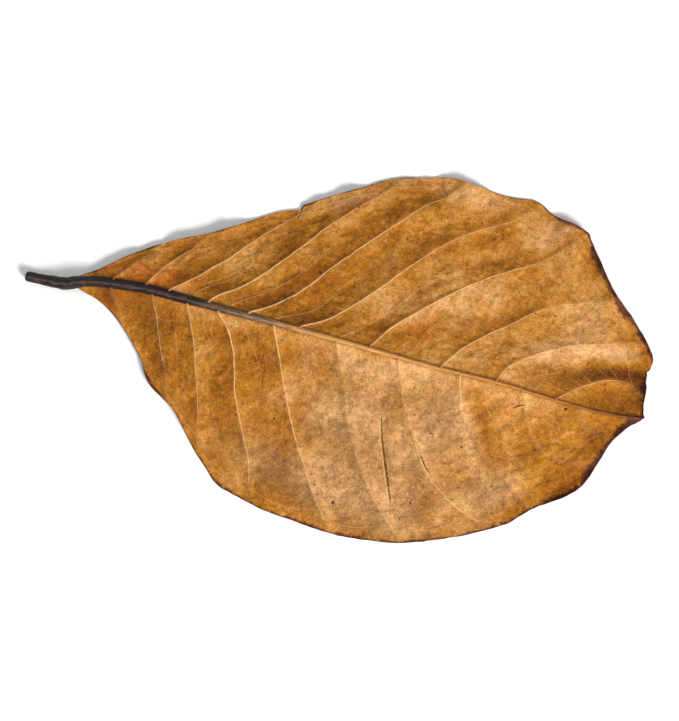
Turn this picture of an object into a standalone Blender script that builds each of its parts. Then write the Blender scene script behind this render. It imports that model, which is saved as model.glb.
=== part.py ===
"""A dried Indian almond leaf, lying on a surface with its underside up.

The leaf is one solid: the blade, the midrib, the side veins and the stalk. It lies along X, from the
end of the stalk to the tip of the blade. The surface that it rests on is at Z = 0, and the origin is at
the middle of the leaf's length and width.
"""

import math

import bmesh
import bpy
import numpy as np

# The leaf is drawn in millimetres, along X from the base of the blade at 0; MM turns that into metres
MM = 0.001
DRAWING_CENTRE = (88.1, 1.05)

# Blade: its lower face is an arch under the midrib and drops from there to the edge as a roof, both along X
BLADE_THICKNESS = 0.65
ARCH = [
    (0, 2.0), (20, 3.6), (45, 6.2), (75, 8.4), (105, 9.2), (135, 8.2), (160, 5.8), (178, 3.6), (188.3, 2.4),
]
ROOF = [
    (0, 0.2), (20, 2.2), (45, 5.6), (75, 8.4), (105, 9.2), (135, 8.2), (160, 5.0), (178, 2.0), (188.3, 0.2),
]
ROOF_POWER = 1.5
GROUND_OFFSET = 0.55
PANEL_SAG = 0.7
FULL_SAG_RUN = 45
EDGE_LIFT_POWER = 4

# Edge of the blade: smooth runs of points, joined by straight steps where the edge is torn
EDGE = {
    1: [
        [
            (3.5, 2.8), (5.2, 4.3), (10, 7), (20, 14.7), (30, 20.6), (45, 27.8), (60, 37), (68.4, 41.4),
            (75.6, 45.6), (85, 50.8), (94, 55.9), (104, 58.5), (114, 60.3), (130, 58.6),
            (140, 59.2), (146.5, 56.2), (157, 53.4), (160.3, 49.4), (170, 36.8), (177.6, 30),
            (183.8, 23.2), (186.9, 18), (186.9, 16),
        ],
        [(185.9, 14.4)], [(186.5, 11.6)], [(186.4, 9.7)], [(187.4, 7.6)], [(188.2, 4.1)], [(188.35, 1.2)],
    ],
    -1: [
        [
            (3.5, -0.4), (6, -1.2), (12.5, -3.1), (20, -8.1), (28.7, -17.2), (33.4, -24.7), (43.1, -31.3),
            (50.6, -40.6), (57, -47), (62.8, -51.7), (76.7, -55.3), (90, -57.2), (104, -58.2),
            (120, -56.6), (130, -53.5), (143.5, -48.2), (152.9, -42.9), (160, -36.5), (170.6, -28.8),
            (175.3, -22.4), (179.4, -10.6), (184.1, -4.1), (186.4, -2.6), (187.9, -1.3),
        ],
    ],
}

# A nick where the edge is torn back along a side vein: its station, its depth and its length to the base
NICKS = {1: (33.6, 2.4, 2.8)}

# Edge: its height, its waves as height, wavelength and phase, and its curl as height, place and width
EDGE_LIFT = {1: 1.1, -1: 0.9}
EDGE_WAVES = {1: [(1.1, 37, 0.6), (0.5, 17, 2.0)], -1: [(1.1, 43, 2.2), (0.4, 19, 1.0)]}
EDGE_CURL = {1: (2.6, 172, 12), -1: (1.2, 178, 9)}

# Midrib: its middle as X and Y, its width along X, and its raised height for its width
MIDRIB_LINE = [
    (-12, -0.4), (0, 0), (5, 1.6), (10, 2.8), (15, 3.4), (22, 4.0), (29, 4.2), (40, 3.75), (60, 3.1),
    (80, 2.4), (100, 1.5), (120, 0.6), (140, 0.4), (155, -0.6), (168, -1.3), (178, -1.2), (188.3, -0.3),
]
MIDRIB_WIDTH = [
    (3.5, 2.3), (8, 3.3), (20, 3.2), (40, 2.8), (60, 2.2), (80, 1.7), (100, 1.4), (140, 1.1), (188.3, 0.6),
]
MIDRIB_HEIGHT_RATIO = 0.45
MIDRIB_SHOULDER = 0.55

# Side veins: where each leaves the midrib along X, where it meets the edge, and its bow for its length
VEINS = {
    1: [
        (15.5, (27, 18.9), 0.05), (26, (42, 25.8), 0.03), (33.5, (68.4, 41.4), 0.0),
        (46.5, (98, 56.9), 0.02), (59.5, (118, 60), 0.02), (76, (142, 58.9), 0.05),
        (98.5, (158, 52.8), 0.07), (121.5, (171, 35.9), 0.1), (139.5, (184, 23), 0.09),
        (159, (188.1, 5), 0.17),
    ],
    -1: [
        (15.5, (21.5, -9.6), 0.0), (28.5, (40, -29), 0.0), (40, (53, -43.3), -0.03),
        (50, (73, -54.4), -0.02), (68, (100, -58), 0.04), (88, (123, -56), 0.07),
        (108, (150, -45.2), 0.11), (128, (160, -36.5), 0.08), (148, (176, -19.5), 0.1),
        (167, (180, -9.5), 0.1),
    ],
}
VEIN_ROOT = 0.9

# Half width and raised height of a side vein, at the midrib and at the edge
VEIN_HALF_WIDTH = (0.75, 0.5)
VEIN_HEIGHT = (0.5, 0.14)

# Stalk: points along its middle as X, height of the middle and radius; its inner end is sunk in the midrib
STALK = [
    (-12, 1.95, 1.9), (-10.6, 1.8, 1.55), (-7, 1.75, 1.5), (-3, 1.85, 1.75), (0.5, 2.3, 1.85),
    (3.5, 2.75, 1.85), (8, 3.3, 1.5), (14, 3.95, 1.05), (20, 4.5, 0.75), (26, 5.1, 0.5),
]
STALK_SMOOTH_STEPS = 2

# Grid of the blade: places across each half, and the widest spacing of its rows
ACROSS = (0, 0.035, 0.09, 0.17, 0.26, 0.36, 0.46, 0.56, 0.66, 0.76, 0.85, 0.93, 1)
FIRST_STATION = 3.5
LAST_STATION = 188.3
WIDEST_ROW_STEP = 6.5
NEAREST_CORNER = 0.3
SPREAD_STEP = 2
LEAST_SPREAD = 0.7
SMOOTH_STEPS = 12

LEAF_COLOUR = (0.43, 0.23, 0.08, 1)
LEAF_ROUGHNESS = 0.62


def smooth_curve(points, steps=SMOOTH_STEPS):
    """Points along the smooth curve that passes through the given ones."""
    points = np.array(points, float)
    if len(points) < 3:
        return points
    before = np.vstack([2 * points[0] - points[1], points[:-1]])
    after = np.vstack([points[1:], 2 * points[-1] - points[-2]])
    slopes = (after - before) / 2
    found = []
    for k in range(len(points) - 1):
        for u in np.linspace(0, 1, steps, endpoint=False):
            found.append(
                (1 + 2 * u) * (1 - u) ** 2 * points[k]
                + u * (1 - u) ** 2 * slopes[k]
                + u * u * (3 - 2 * u) * points[k + 1]
                + u * u * (u - 1) * slopes[k + 1]
            )
    return np.array(found + [points[-1]])


def read_curve(curve, x):
    return float(np.interp(x, curve[:, 0], curve[:, 1]))


ARCH_CURVE = smooth_curve(ARCH)
ROOF_CURVE = smooth_curve(ROOF)
MIDRIB_CURVE = smooth_curve(MIDRIB_LINE)
WIDTH_CURVE = np.array(MIDRIB_WIDTH, float)


def edge_path(side):
    """Points of one side's edge from base to tip, how far along it they are, and its torn corners."""
    runs = [smooth_curve(run) for run in EDGE[side]]
    points = np.vstack(runs)
    steps = np.linalg.norm(np.diff(points, axis=0), axis=1)
    along = np.concatenate([[0], np.cumsum(steps)])
    starts = np.cumsum([len(run) for run in runs])[:-1]
    return points, along, [distance for distance in along[starts] if distance < along[-1]]


EDGE_PATHS = {side: edge_path(side) for side in EDGE}


def vein_table(side):
    """Stations on the midrib, distances along the edge and bows, of the base, each vein and the tip."""
    points, along, _ = EDGE_PATHS[side]
    reached = [along[np.argmin(np.linalg.norm(points - end, axis=1))] for _, end, _ in VEINS[side]]
    stations = [FIRST_STATION] + [origin for origin, _, _ in VEINS[side]] + [LAST_STATION]
    bows = [0] + [bow for _, _, bow in VEINS[side]] + [0]
    return np.array(stations), np.array([0] + reached + [along[-1]]), np.array(bows)


VEIN_TABLES = {side: vein_table(side) for side in VEINS}


def half_midrib(station):
    return read_curve(WIDTH_CURVE, station) / 2


def torn_back(side, station):
    """How far the nick shortens the blade along the run of the side veins."""
    if side not in NICKS:
        return 0
    place, depth, length = NICKS[side]
    behind = place - station
    return depth * (1 - behind / length) if 0 <= behind < length else 0


def plan(side, station, across):
    """Place in the drawing, from the midrib's foot at 0 to the edge at 1, along the side veins' run."""
    stations, reached, bows = VEIN_TABLES[side]
    foot = np.array([station, read_curve(MIDRIB_CURVE, station) + side * half_midrib(station)])
    points, along, _ = EDGE_PATHS[side]
    reach = np.interp(station, stations, reached)
    end = np.array([np.interp(reach, along, points[:, 0]), np.interp(reach, along, points[:, 1])])
    run = end - foot
    run *= 1 - torn_back(side, station) / np.linalg.norm(run)
    bow = np.interp(station, stations, bows) * 4 * across * (1 - across)
    return foot + run * across + side * bow * np.array([-run[1], run[0]])


def vein_spread(side, station, across):
    """How far the plan moves square to the side veins when the station moves by one."""
    along = plan(side, station + SPREAD_STEP, across) - plan(side, station - SPREAD_STEP, across)
    run = plan(side, station, 1) - plan(side, station, 0)
    spread = abs(along[0] * run[1] - along[1] * run[0]) / np.linalg.norm(run) / (2 * SPREAD_STEP)
    return max(spread, LEAST_SPREAD)


def vein_knots(side, across):
    """Stations of each side vein's foot, crest and foot: it keeps its width where the veins fan out."""
    knots = [FIRST_STATION]
    for origin, _, _ in VEINS[side]:
        half_width = np.interp(across, (0, 1), VEIN_HALF_WIDTH) / vein_spread(side, origin, across)
        reach = half_width if across else VEIN_ROOT
        knots += [origin - reach, origin, origin + reach]
    return knots + [LAST_STATION]


KNOTS = {side: {across: vein_knots(side, across) for across in ACROSS} for side in VEINS}
RIDGES = {side: [0] + [0, 1, 0] * len(VEINS[side]) + [0] for side in VEINS}


def local_station(side, station, across):
    """Station that a row of the grid has gone over to at this place across the blade."""
    return float(np.interp(station, KNOTS[side][0], KNOTS[side][across]))


def vein_relief(side, station, across):
    ridge = float(np.interp(station, KNOTS[side][0], RIDGES[side]))
    return ridge * float(np.interp(across, (0, 1), VEIN_HEIGHT))


def panel_place(side, station):
    """0 on a side vein and 1 midway between two."""
    stations = VEIN_TABLES[side][0]
    place = np.interp(station, stations, np.arange(len(stations)))
    return math.sin(math.pi * (place % 1)) ** 2


def edge_lift(side, x):
    """Height of the edge above the ground offset."""
    curl, curl_place, curl_width = EDGE_CURL[side]
    lift = EDGE_LIFT[side] + curl * math.exp(-(((x - curl_place) / curl_width) ** 2))
    for height, wavelength, phase in EDGE_WAVES[side]:
        lift += height * math.sin(2 * math.pi * x / wavelength + phase)
    return lift


def panel_sag(side, station, across):
    """How far the blade sags between two side veins, less where the blade is narrow."""
    run = np.linalg.norm(plan(side, station, 1) - plan(side, station, 0))
    depth = PANEL_SAG * min(1, run / FULL_SAG_RUN) ** 2
    return depth * panel_place(side, station) * math.sqrt(across * (1 - across) * 4)


def lower_face(side, station, across):
    """Point of the blade's lower face: arch, roof, sagging panels, waved edge, flats on the ground."""
    x, y = plan(side, station, across)
    height = read_curve(ARCH_CURVE, x) - read_curve(ROOF_CURVE, x) * (1 - (1 - across) ** ROOF_POWER)
    height += edge_lift(side, x) * across**EDGE_LIFT_POWER
    height -= panel_sag(side, station, across) + GROUND_OFFSET * across
    return x, y, max(height, 0)


def row_reach(side, station):
    """Distance along the edge at which a row of the grid ends."""
    stations, reached, _ = VEIN_TABLES[side]
    return float(np.interp(local_station(side, station, 1), stations, reached))


def grid_stations():
    """Stations of the grid's rows: on the side veins, between them, and at the torn corners of the edge."""
    rows = sorted({round(knot, 3) for side in KNOTS for knot in KNOTS[side][0]})
    for start, end in list(zip(rows, rows[1:])):
        span = max([end - start] + [row_reach(side, end) - row_reach(side, start) for side in KNOTS])
        count = math.ceil(span / WIDEST_ROW_STEP)
        rows += [start + (end - start) * k / count for k in range(1, count)]
    rows.sort()
    for side in KNOTS:
        reaches = [row_reach(side, station) for station in rows]
        for corner in EDGE_PATHS[side][2]:
            if min(abs(corner - reach) for reach in reaches) > NEAREST_CORNER:
                rows.append(float(np.interp(corner, reaches, rows[: len(reaches)])))
        rows.sort()
    return rows


def row_points(station):
    """Points of one row on the lower face, from the lower edge to the upper, with the relief over each."""
    middle_height = read_curve(ARCH_CURVE, station)
    middle_y = read_curve(MIDRIB_CURVE, station)
    rib = half_midrib(station)
    rib_height = 2 * rib * MIDRIB_HEIGHT_RATIO
    halves = {}
    for side in (-1, 1):
        halves[side] = []
        for across in ACROSS:
            point = lower_face(side, local_station(side, station, across), across)
            halves[side].append((*point, vein_relief(side, station, across)))
    shoulder = rib * MIDRIB_SHOULDER
    shoulder_height = rib_height * math.sqrt(1 - MIDRIB_SHOULDER**2)
    middle = [
        (station, middle_y - shoulder, middle_height, shoulder_height),
        (station, middle_y, middle_height, rib_height),
        (station, middle_y + shoulder, middle_height, shoulder_height),
    ]
    return halves[-1][::-1] + middle + halves[1]


def placed(x, y, z):
    """A point of the drawing, in metres from the origin."""
    return (x - DRAWING_CENTRE[0]) * MM, (y - DRAWING_CENTRE[1]) * MM, z * MM


def clear_scene():
    for obj in list(bpy.data.objects):
        bpy.data.objects.remove(obj)


def new_collection(name):
    collection = bpy.data.collections.new(name)
    bpy.context.scene.collection.children.link(collection)
    return collection


def evaluated_mesh(obj):
    graph = bpy.context.evaluated_depsgraph_get()
    return bpy.data.meshes.new_from_object(obj.evaluated_get(graph))


def make_blade(collection):
    """A grid bent to the lower face, thickened upwards, with the veins raised on its upper face."""
    rows = [row_points(station) for station in grid_stations()]
    columns = len(rows[0])
    bm = bmesh.new()
    bmesh.ops.create_grid(bm, x_segments=columns - 1, y_segments=len(rows) - 1, size=1)
    bm.verts.ensure_lookup_table()
    for index, vert in enumerate(bm.verts):
        row, column = divmod(index, columns)
        vert.co = placed(*rows[row][column][:3])
    bmesh.ops.triangulate(bm, faces=bm.faces[:], quad_method="SHORT_EDGE")
    mesh = bpy.data.meshes.new("blade")
    bm.to_mesh(mesh)
    bm.free()
    blade = bpy.data.objects.new("leaf", mesh)
    collection.objects.link(blade)
    thicken = blade.modifiers.new("thickness", "SOLIDIFY")
    thicken.thickness = BLADE_THICKNESS * MM
    thicken.offset = -1
    solid = evaluated_mesh(blade)
    relief = [point[3] for row in rows for point in row]
    upper_start = len(relief)
    for index, height in enumerate(relief):
        solid.vertices[upper_start + index].co.z += height * MM
    blade.modifiers.clear()
    blade.data = solid
    return blade


def make_stalk(collection):
    """The stalk: a tapered tube whose inner end is sunk in the midrib."""
    data = bpy.data.curves.new("stalk", "CURVE")
    data.dimensions = "3D"
    data.bevel_depth = MM
    data.bevel_resolution = 2
    data.use_fill_caps = True
    middle = smooth_curve(STALK, STALK_SMOOTH_STEPS)
    spline = data.splines.new("POLY")
    spline.points.add(len(middle) - 1)
    for point, (x, height, radius) in zip(spline.points, middle):
        point.co = (*placed(x, read_curve(MIDRIB_CURVE, x), height), 1)
        point.radius = radius
    tube = bpy.data.objects.new("stalk_tube", data)
    collection.objects.link(tube)
    mesh = evaluated_mesh(tube)
    bm = bmesh.new()
    bm.from_mesh(mesh)
    bmesh.ops.remove_doubles(bm, verts=bm.verts, dist=0.001 * MM)
    bmesh.ops.recalc_face_normals(bm, faces=bm.faces)
    bm.to_mesh(mesh)
    bm.free()
    bpy.data.objects.remove(tube)
    stalk = bpy.data.objects.new("stalk", mesh)
    collection.objects.link(stalk)
    return stalk


def join_stalk(blade, stalk):
    """One solid of both. The manifold solver is used because the exact one leaves an empty mesh here."""
    union = blade.modifiers.new("stalk", "BOOLEAN")
    union.operation = "UNION"
    union.object = stalk
    union.solver = "MANIFOLD"
    joined = evaluated_mesh(blade)
    blade.modifiers.clear()
    blade.data = joined
    bpy.data.objects.remove(stalk)


def leaf_material():
    material = bpy.data.materials.new("dried_leaf")
    material.use_nodes = True
    shader = material.node_tree.nodes["Principled BSDF"]
    shader.inputs["Base Color"].default_value = LEAF_COLOUR
    shader.inputs["Roughness"].default_value = LEAF_ROUGHNESS
    shader.inputs["Metallic"].default_value = 0
    return material


def main():
    clear_scene()
    parts = new_collection("indian_almond_leaf")
    leaf = make_blade(parts)
    join_stalk(leaf, make_stalk(parts))
    leaf.data.materials.clear()
    leaf.data.materials.append(leaf_material())
    leaf.data.shade_smooth()


main()
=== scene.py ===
"""Looks of a dried Indian almond leaf that lies on a pale floor with its underside up.

The leaf is drawn in millimetres, along X from the base of the blade at 0, as its solid is. The finer pieces
made here keep that form: the blade with its midrib, the stalk, the raised side veins, the finer veins between
them and the dark specks. Blotches, cracks and the dark rim are colour on the blade. Painted shade and painted
light are colour on it too: beside the side veins, along the midrib's foot and sides, at some folds and in
fine wrinkles. The midrib has a painted highlight along its crest.

A place on the blade is a side (1 above the midrib in the drawing, -1 below), a station (where its row leaves
the midrib, along X) and a share across, from 0 at the midrib's foot to 1 at the edge.
"""

import functools
import math

import bpy
import numpy as np
from bpy.props import FloatProperty, FloatVectorProperty, IntProperty, PointerProperty
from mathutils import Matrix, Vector, kdtree


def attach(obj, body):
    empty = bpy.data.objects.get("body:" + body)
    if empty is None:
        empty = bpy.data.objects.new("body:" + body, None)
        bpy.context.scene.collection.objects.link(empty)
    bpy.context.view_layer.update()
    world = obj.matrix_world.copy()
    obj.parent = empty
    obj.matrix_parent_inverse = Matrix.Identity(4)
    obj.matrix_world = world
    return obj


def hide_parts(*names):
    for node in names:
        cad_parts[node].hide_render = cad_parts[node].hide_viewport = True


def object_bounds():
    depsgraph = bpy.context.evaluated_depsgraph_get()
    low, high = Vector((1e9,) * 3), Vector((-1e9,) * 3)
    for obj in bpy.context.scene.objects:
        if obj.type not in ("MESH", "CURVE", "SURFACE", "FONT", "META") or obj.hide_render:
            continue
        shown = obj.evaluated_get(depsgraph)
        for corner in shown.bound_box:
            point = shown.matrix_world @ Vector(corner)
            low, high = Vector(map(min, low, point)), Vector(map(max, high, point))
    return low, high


bl_info = {
    "name": "Dried Almond Leaf",
    "version": (1, 0, 0),
    "blender": (4, 5, 0),
    "location": "3D View > Sidebar > Leaf",
    "description": "Builds a dried Indian almond leaf with its veins, and the stage it lies on",
    "category": "Add Mesh",
}

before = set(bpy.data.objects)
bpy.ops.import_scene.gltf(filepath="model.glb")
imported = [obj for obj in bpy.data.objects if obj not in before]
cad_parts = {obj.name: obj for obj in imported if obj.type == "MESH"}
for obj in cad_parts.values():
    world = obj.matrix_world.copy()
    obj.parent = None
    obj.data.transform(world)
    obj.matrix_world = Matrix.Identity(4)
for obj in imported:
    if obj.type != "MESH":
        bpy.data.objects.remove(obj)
SOLID_BOX = [list(corner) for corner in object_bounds()]

MM = 0.001
DRAWING_CENTRE = (88.1, 1.05)

# Form of the blade: its lower face is an arch under the midrib, and drops from there to the edge as a roof.
# Between the side veins it sags, and the edge lifts again
ARCH = [
    (0, 2.0), (20, 3.6), (45, 6.2), (75, 8.4), (105, 9.2), (135, 8.2), (160, 5.8), (178, 3.6), (188.3, 2.4),
]
ROOF = [
    (0, 0.2), (20, 2.2), (45, 5.6), (75, 8.4), (105, 9.2), (135, 8.2), (160, 5.0), (178, 2.0), (188.3, 0.2),
]
ROOF_POWER = 1.5
GROUND_OFFSET = 0.55
PANEL_SAG = 0.7
FULL_SAG_RUN = 45
EDGE_LIFT_POWER = 4
BASE_LIFT_RUN = 14
BASE_LIFT_END = 30
CALM_RUN = 6
CALM_LENGTH = 20

# Edge of the blade: smooth runs of points, joined by straight steps where the edge is torn
EDGE = {
    1: [
        [
            (3.5, 2.2), (5.6, 4.2), (10, 7), (20, 14.7), (30, 20.6), (45, 27.8), (60, 37), (68.4, 41.4),
            (75.6, 45.6), (85, 50.8), (94, 55.9), (104, 58.5), (114, 60.3), (130, 58.6),
            (140, 59.2), (146.5, 56.2), (157, 53.4), (160.3, 49.4), (170, 36.8), (177.6, 30),
            (183.8, 23.2), (186.9, 18), (186.9, 16),
        ],
        [(185.9, 14.4)], [(186.5, 11.6)], [(186.4, 9.7)], [(187.4, 7.6)], [(188.2, 4.1)], [(188.35, 1.2)],
    ],
    -1: [
        [
            (3.5, 0.3), (6, -0.9), (12.5, -3.1), (20, -8.1), (28.7, -17.2), (33.4, -24.7), (43.1, -31.3),
            (50.6, -40.6), (57, -47), (62.8, -51.7), (76.7, -55.3), (90, -57.2), (104, -58.2),
            (120, -56.6), (130, -53.5), (143.5, -48.2), (152.9, -42.9), (160, -36.5), (170.6, -28.8),
            (175.3, -22.4), (179.4, -10.6), (184.1, -4.1), (186.4, -2.6), (187.9, -1.3),
        ],
    ],
}

# Nick in the edge: its place, depth and span along the edge, how far in it reaches, and how rows crowd at it
NICKS = {1: ((68.4, 41.4), 1.7, 4.0)}
NICK_REACH = 2.2
NICK_CROWDING = 14
NICK_CROWD_REACH = 0.35

# Lift of the edge, its waves (height, wavelength, phase) and its curl near the tip (height, place, reach)
EDGE_LIFT = {1: 1.1, -1: 0.9}
EDGE_WAVES = {1: [(1.1, 37, 0.6), (0.5, 17, 2.0)], -1: [(1.1, 43, 2.2), (0.4, 19, 1.0)]}
EDGE_CURL = {1: (2.6, 172, 12), -1: (1.2, 178, 9)}

# Wear of the edge: depth, wavelength and seed of the fine wear, the broad wear and the torn tip's wear
FINE_WEAR = (0.1, 1.7, 20)
BROAD_WEAR = (0.12, 5.3, 30)
TIP_WEAR = (0.45, 1.1, 40)
TIP_WEAR_START = 184.5
TIP_WEAR_RUN = 2
UNWORN_BASE = 8
WORN_REACH = 3

# Blunt tip: how far it is drawn back beside its point, and how ragged it is (depth, wavelength and seed)
TIP_START = 186.2
TIP_POINT_Y = 0.1
TIP_DRAWN_BACK = 0.75
TIP_POWER = 0.9
TIP_RAGS = (0.18, 0.55, 77)
TIP_RAGS_START = 40

# Midrib: its middle as X and Y, its width along X, and its raised height for its width
MIDRIB_LINE = [
    (-12, -0.4), (0, 0), (5, 1.6), (10, 2.8), (15, 3.4), (22, 4.0), (29, 4.2), (40, 3.75), (60, 3.1),
    (80, 2.4), (100, 1.5), (120, 0.6), (140, 0.4), (155, -0.6), (168, -1.3), (178, -1.2), (188.3, -0.3),
]
MIDRIB_WIDTH = [
    (3.5, 2.3), (8, 3.3), (20, 3.2), (40, 2.8), (60, 2.2), (80, 1.7), (100, 1.4), (140, 1.1), (188.3, 0.6),
]
MIDRIB_HEIGHT_RATIO = 0.45

# Folds along the midrib (share of its height, and where they end) and its grain (height, wavelength, seed);
# then the ridge beneath it and the groove on either side of that, as shares of half its width
MIDRIB_FOLDS = (0.07, 130)
MIDRIB_GRAIN = (0.05, 2.6, 60)
UNDER_RIDGE = 0.22
UNDER_GROOVE = (0.16, 0.62, 0.16)

# Relief of the blade's upper face: height and reach of the swelling along side veins and finer veins, at the
# midrib's foot (its height for half the midrib's width) and of the rolled rim
VEIN_SWELLING = (0.28, 0.7)
VEIN_SWELLING_FADE = 0.6
FINE_VEIN_SWELLING = (0.13, 0.55)
FINE_VEIN_SWELLING_RUN = 2
MIDRIB_FOOT = (0.34, 0.7)
ROLLED_RIM = (0.16, 0.5)
RIM_MIDDLE_HEIGHT = 0.55

# Side veins: where each leaves the midrib along X, where its line meets the edge, and points that it passes
VEINS = {
    1: [
        (15.5, (27, 18.9), [(24, 14.8)]),
        (26, (42, 25.8), [(30.3, 12.2), (33.8, 16.2), (37.4, 19.7)]),
        (33.5, (68.4, 41.4), [(40, 10.6), (45, 15.3), (50, 20), (53.8, 24.4), (60, 30.9), (66.2, 36.8)]),
        (46.5, (98, 56.9), [(49, 7.4), (55, 11.2), (62, 17.9), (70, 27.1), (77.4, 36.2), (87, 46),
                            (92, 50.5)]),
        (59.5, (118, 60), [(65.6, 7.6), (73.2, 13.8), (83.2, 25.6), (93.5, 36.8), (105.3, 49.1), (112, 54)]),
        (76, (142, 58.9), [(83.5, 7.4), (90, 12.9), (97.6, 20.9), (105.3, 29.7), (115.3, 39.7), (124.7, 46.2),
                           (134.7, 51.6)]),
        (98.5, (158, 52.8), [(104, 9.7), (110, 15.6), (120, 24.4), (130, 31.8), (138.8, 36.9), (147, 42)]),
        (121.5, (171, 35.9), [(127, 8.2), (134.7, 15), (140, 18.9), (146.5, 24.2), (154.7, 28.8),
                              (162.4, 31.3)]),
        (139.5, (184, 23), [(142.4, 6.2), (150, 11.8), (160, 16.8), (169.4, 19.7)]),
        (159, (188.1, 5), [(165.9, 4.7), (171.2, 7.9), (175.9, 9.4), (180.6, 9.4), (185.3, 6.9)]),
    ],
    -1: [
        (15.5, (21.5, -9.6), []),
        (28.5, (40, -29), [(30.6, -1.9), (32.8, -8.1), (35, -13.5), (38, -21)]),
        (40, (53, -43.3), [(43.7, -6.3), (47.5, -18.7), (49.4, -25), (50.9, -31.6)]),
        (50, (73, -54.4), [(54.4, -2.5), (57.8, -10), (60.6, -20.6), (64.4, -30), (69.4, -41)]),
        (68, (100, -58), [(72, -7.8), (78.3, -22.8), (82.8, -31.7), (86.7, -38.3), (92.8, -48.3)]),
        (88, (123, -56), [(92.2, -9.4), (95.6, -18.9), (100, -28), (106, -37.5), (112.8, -46.3)]),
        (108, (150, -45.2), [(112.2, -11.1), (117.8, -21.7), (122.4, -29.6), (130, -36.5), (140, -42.2)]),
        (128, (160, -36.5), [(130.6, -9.4), (135.3, -15.5), (139.4, -20.4), (144.7, -25.5)]),
        (148, (176, -19.5), [(151.5, -8.5), (155.3, -14.1), (158.2, -16.9), (162.4, -18.6), (170, -19)]),
        (167, (180, -9.5), [(171, -7.2)]),
    ],
}
VEIN_BOW_PLACES = 41

# Half width of the side veins at the midrib and near the edge; then for each vein its share of that width,
# and how pale it is at the midrib, half way and near the edge
SIDE_VEIN_HALF_WIDTH = (0.28, 0.17)
VEIN_LOOKS = {
    1: [
        (0.55, (0.3, 0.2, 0)), (0.75, (0.6, 0.6, 0.2)), (0.9, (0.7, 0.7, 0.5)), (1, (0.9, 0.8, 0.35)),
        (1, (0.9, 0.85, 0.45)), (1, (0.75, 0.7, 0.5)), (1, (0.75, 0.62, 0.35)), (0.9, (0.8, 0.6, 0.5)),
        (0.75, (0.6, 0.45, 0.3)), (0.7, (0.4, 0.55, 0.4)),
    ],
    -1: [
        (0.5, (0.2, 0.1, 0)), (0.75, (0.5, 0.5, 0.2)), (0.85, (0.7, 0.6, 0.4)), (1, (1, 0.9, 0.6)),
        (1, (0.9, 0.8, 0.9)), (0.95, (0.2, 0.15, 1.2)), (1, (0.3, 0.15, 1.3)), (0.8, (0.9, 0.3, 0.1)),
        (0.65, (0.1, 0.3, 0.45)), (0.5, (0.1, 0.2, 0.1)),
    ],
}

# Side veins taper and fade out near the edge; at their root in the midrib they are thicker and darker
VEIN_FADE_PLACE = 0.93
VEIN_TAPER_START = 0.75
VEIN_ROOT_SWELLING = (0.14, 1.5)
VEIN_ROOT_DARKENING = (0.5, 0.9)
VEIN_ROOT_INSIDE = 0.4
VEIN_ROOT_SUNK = 0.1
VEIN_POINT_STEP = 0.55

# Unevenness of a side vein's width, line and paleness: size, wavelength, and seed for each mm of its station
VEIN_WIDTH_WOBBLE = (0.16, 1.7, 2)
VEIN_STRAY = (0.14, 2.6, 5)
VEIN_PALENESS_WOBBLE = (0.16, 4, 3)

# Painted shade and painted light along the side veins, as a change of tone: painted shade on each vein's base
# side and painted light on its tip side; its strength on each side, and its depth, place and reach
VEIN_PAINTED_SHADE_STRENGTH = {1: 1.0, -1: 0.55}
VEIN_PAINTED_SHADES = [(0.06, -1.8, 1.8), (0.13, -0.75, 0.6)]
VEIN_PAINTED_LIGHT = (0.08, 1.6, 1.6)

# Finer veins run across from one side vein to the next; all their random draws come from this seed
CROSS_VEIN_SEED = 11
CROSS_VEIN_SPACING = 4.6
CROSS_VEIN_HALF_WIDTH = 0.115
CROSS_VEIN_MARK_STEP = 0.3

# Width of a panel, between two side veins, over which it has twigs, a vein down its middle and an end loop
TWIG_PANEL_WIDTH = 6
MIDDLE_VEIN_PANEL_WIDTH = 9
LOOP_PANEL_WIDTH = 8

# How deep the veins lie, as a share of their half width, and how far in metres they may rise over their line
SIDE_VEIN_SUNK = 0.42
FINE_VEIN_SUNK = 0.5
SIDE_VEIN_MOST_RISE = 0.0001
FINE_VEIN_MOST_RISE = 0.0003

# Stalk: points along its middle as X, height of the middle and radius, and the glands at the blade's base,
# each as X and its turn round the stalk; then its rows of points, and how its end is rounded
STALK = [
    (-12, 1.95, 1.9), (-10.6, 1.8, 1.55), (-7, 1.75, 1.5), (-3, 1.85, 1.75), (0.5, 2.3, 1.85),
    (3.5, 2.75, 1.85), (8, 3.3, 1.5), (14, 3.95, 1.05), (20, 4.5, 0.75), (26, 5.1, 0.5),
]
GLANDS = [(-1.2, 0.9), (0.4, 2.3)]
GLAND_HEIGHT = 0.6
GLAND_REACH = 0.9
GLAND_TURN_REACH = 0.33
STALK_SIDES = 40
STALK_END_ROWS = (-12, -11.93, -11.83, -11.7)
STALK_ROWS = [(-11.5, 4, 62), (4.4, 26, 50)]
STALK_END_ROUNDING = (0.42, 0.5)

# Scar at the stalk's end: rings as a share of its radius and their depth, and how uneven they are
SCAR_RINGS = [(0.04, 0.2), (0.25, 0.3), (0.5, 0.12), (0.7, 0.16), (0.88, 0.02)]
SCAR_UNEVENNESS = 0.07
SCAR_EVEN_FROM = 0.8

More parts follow.
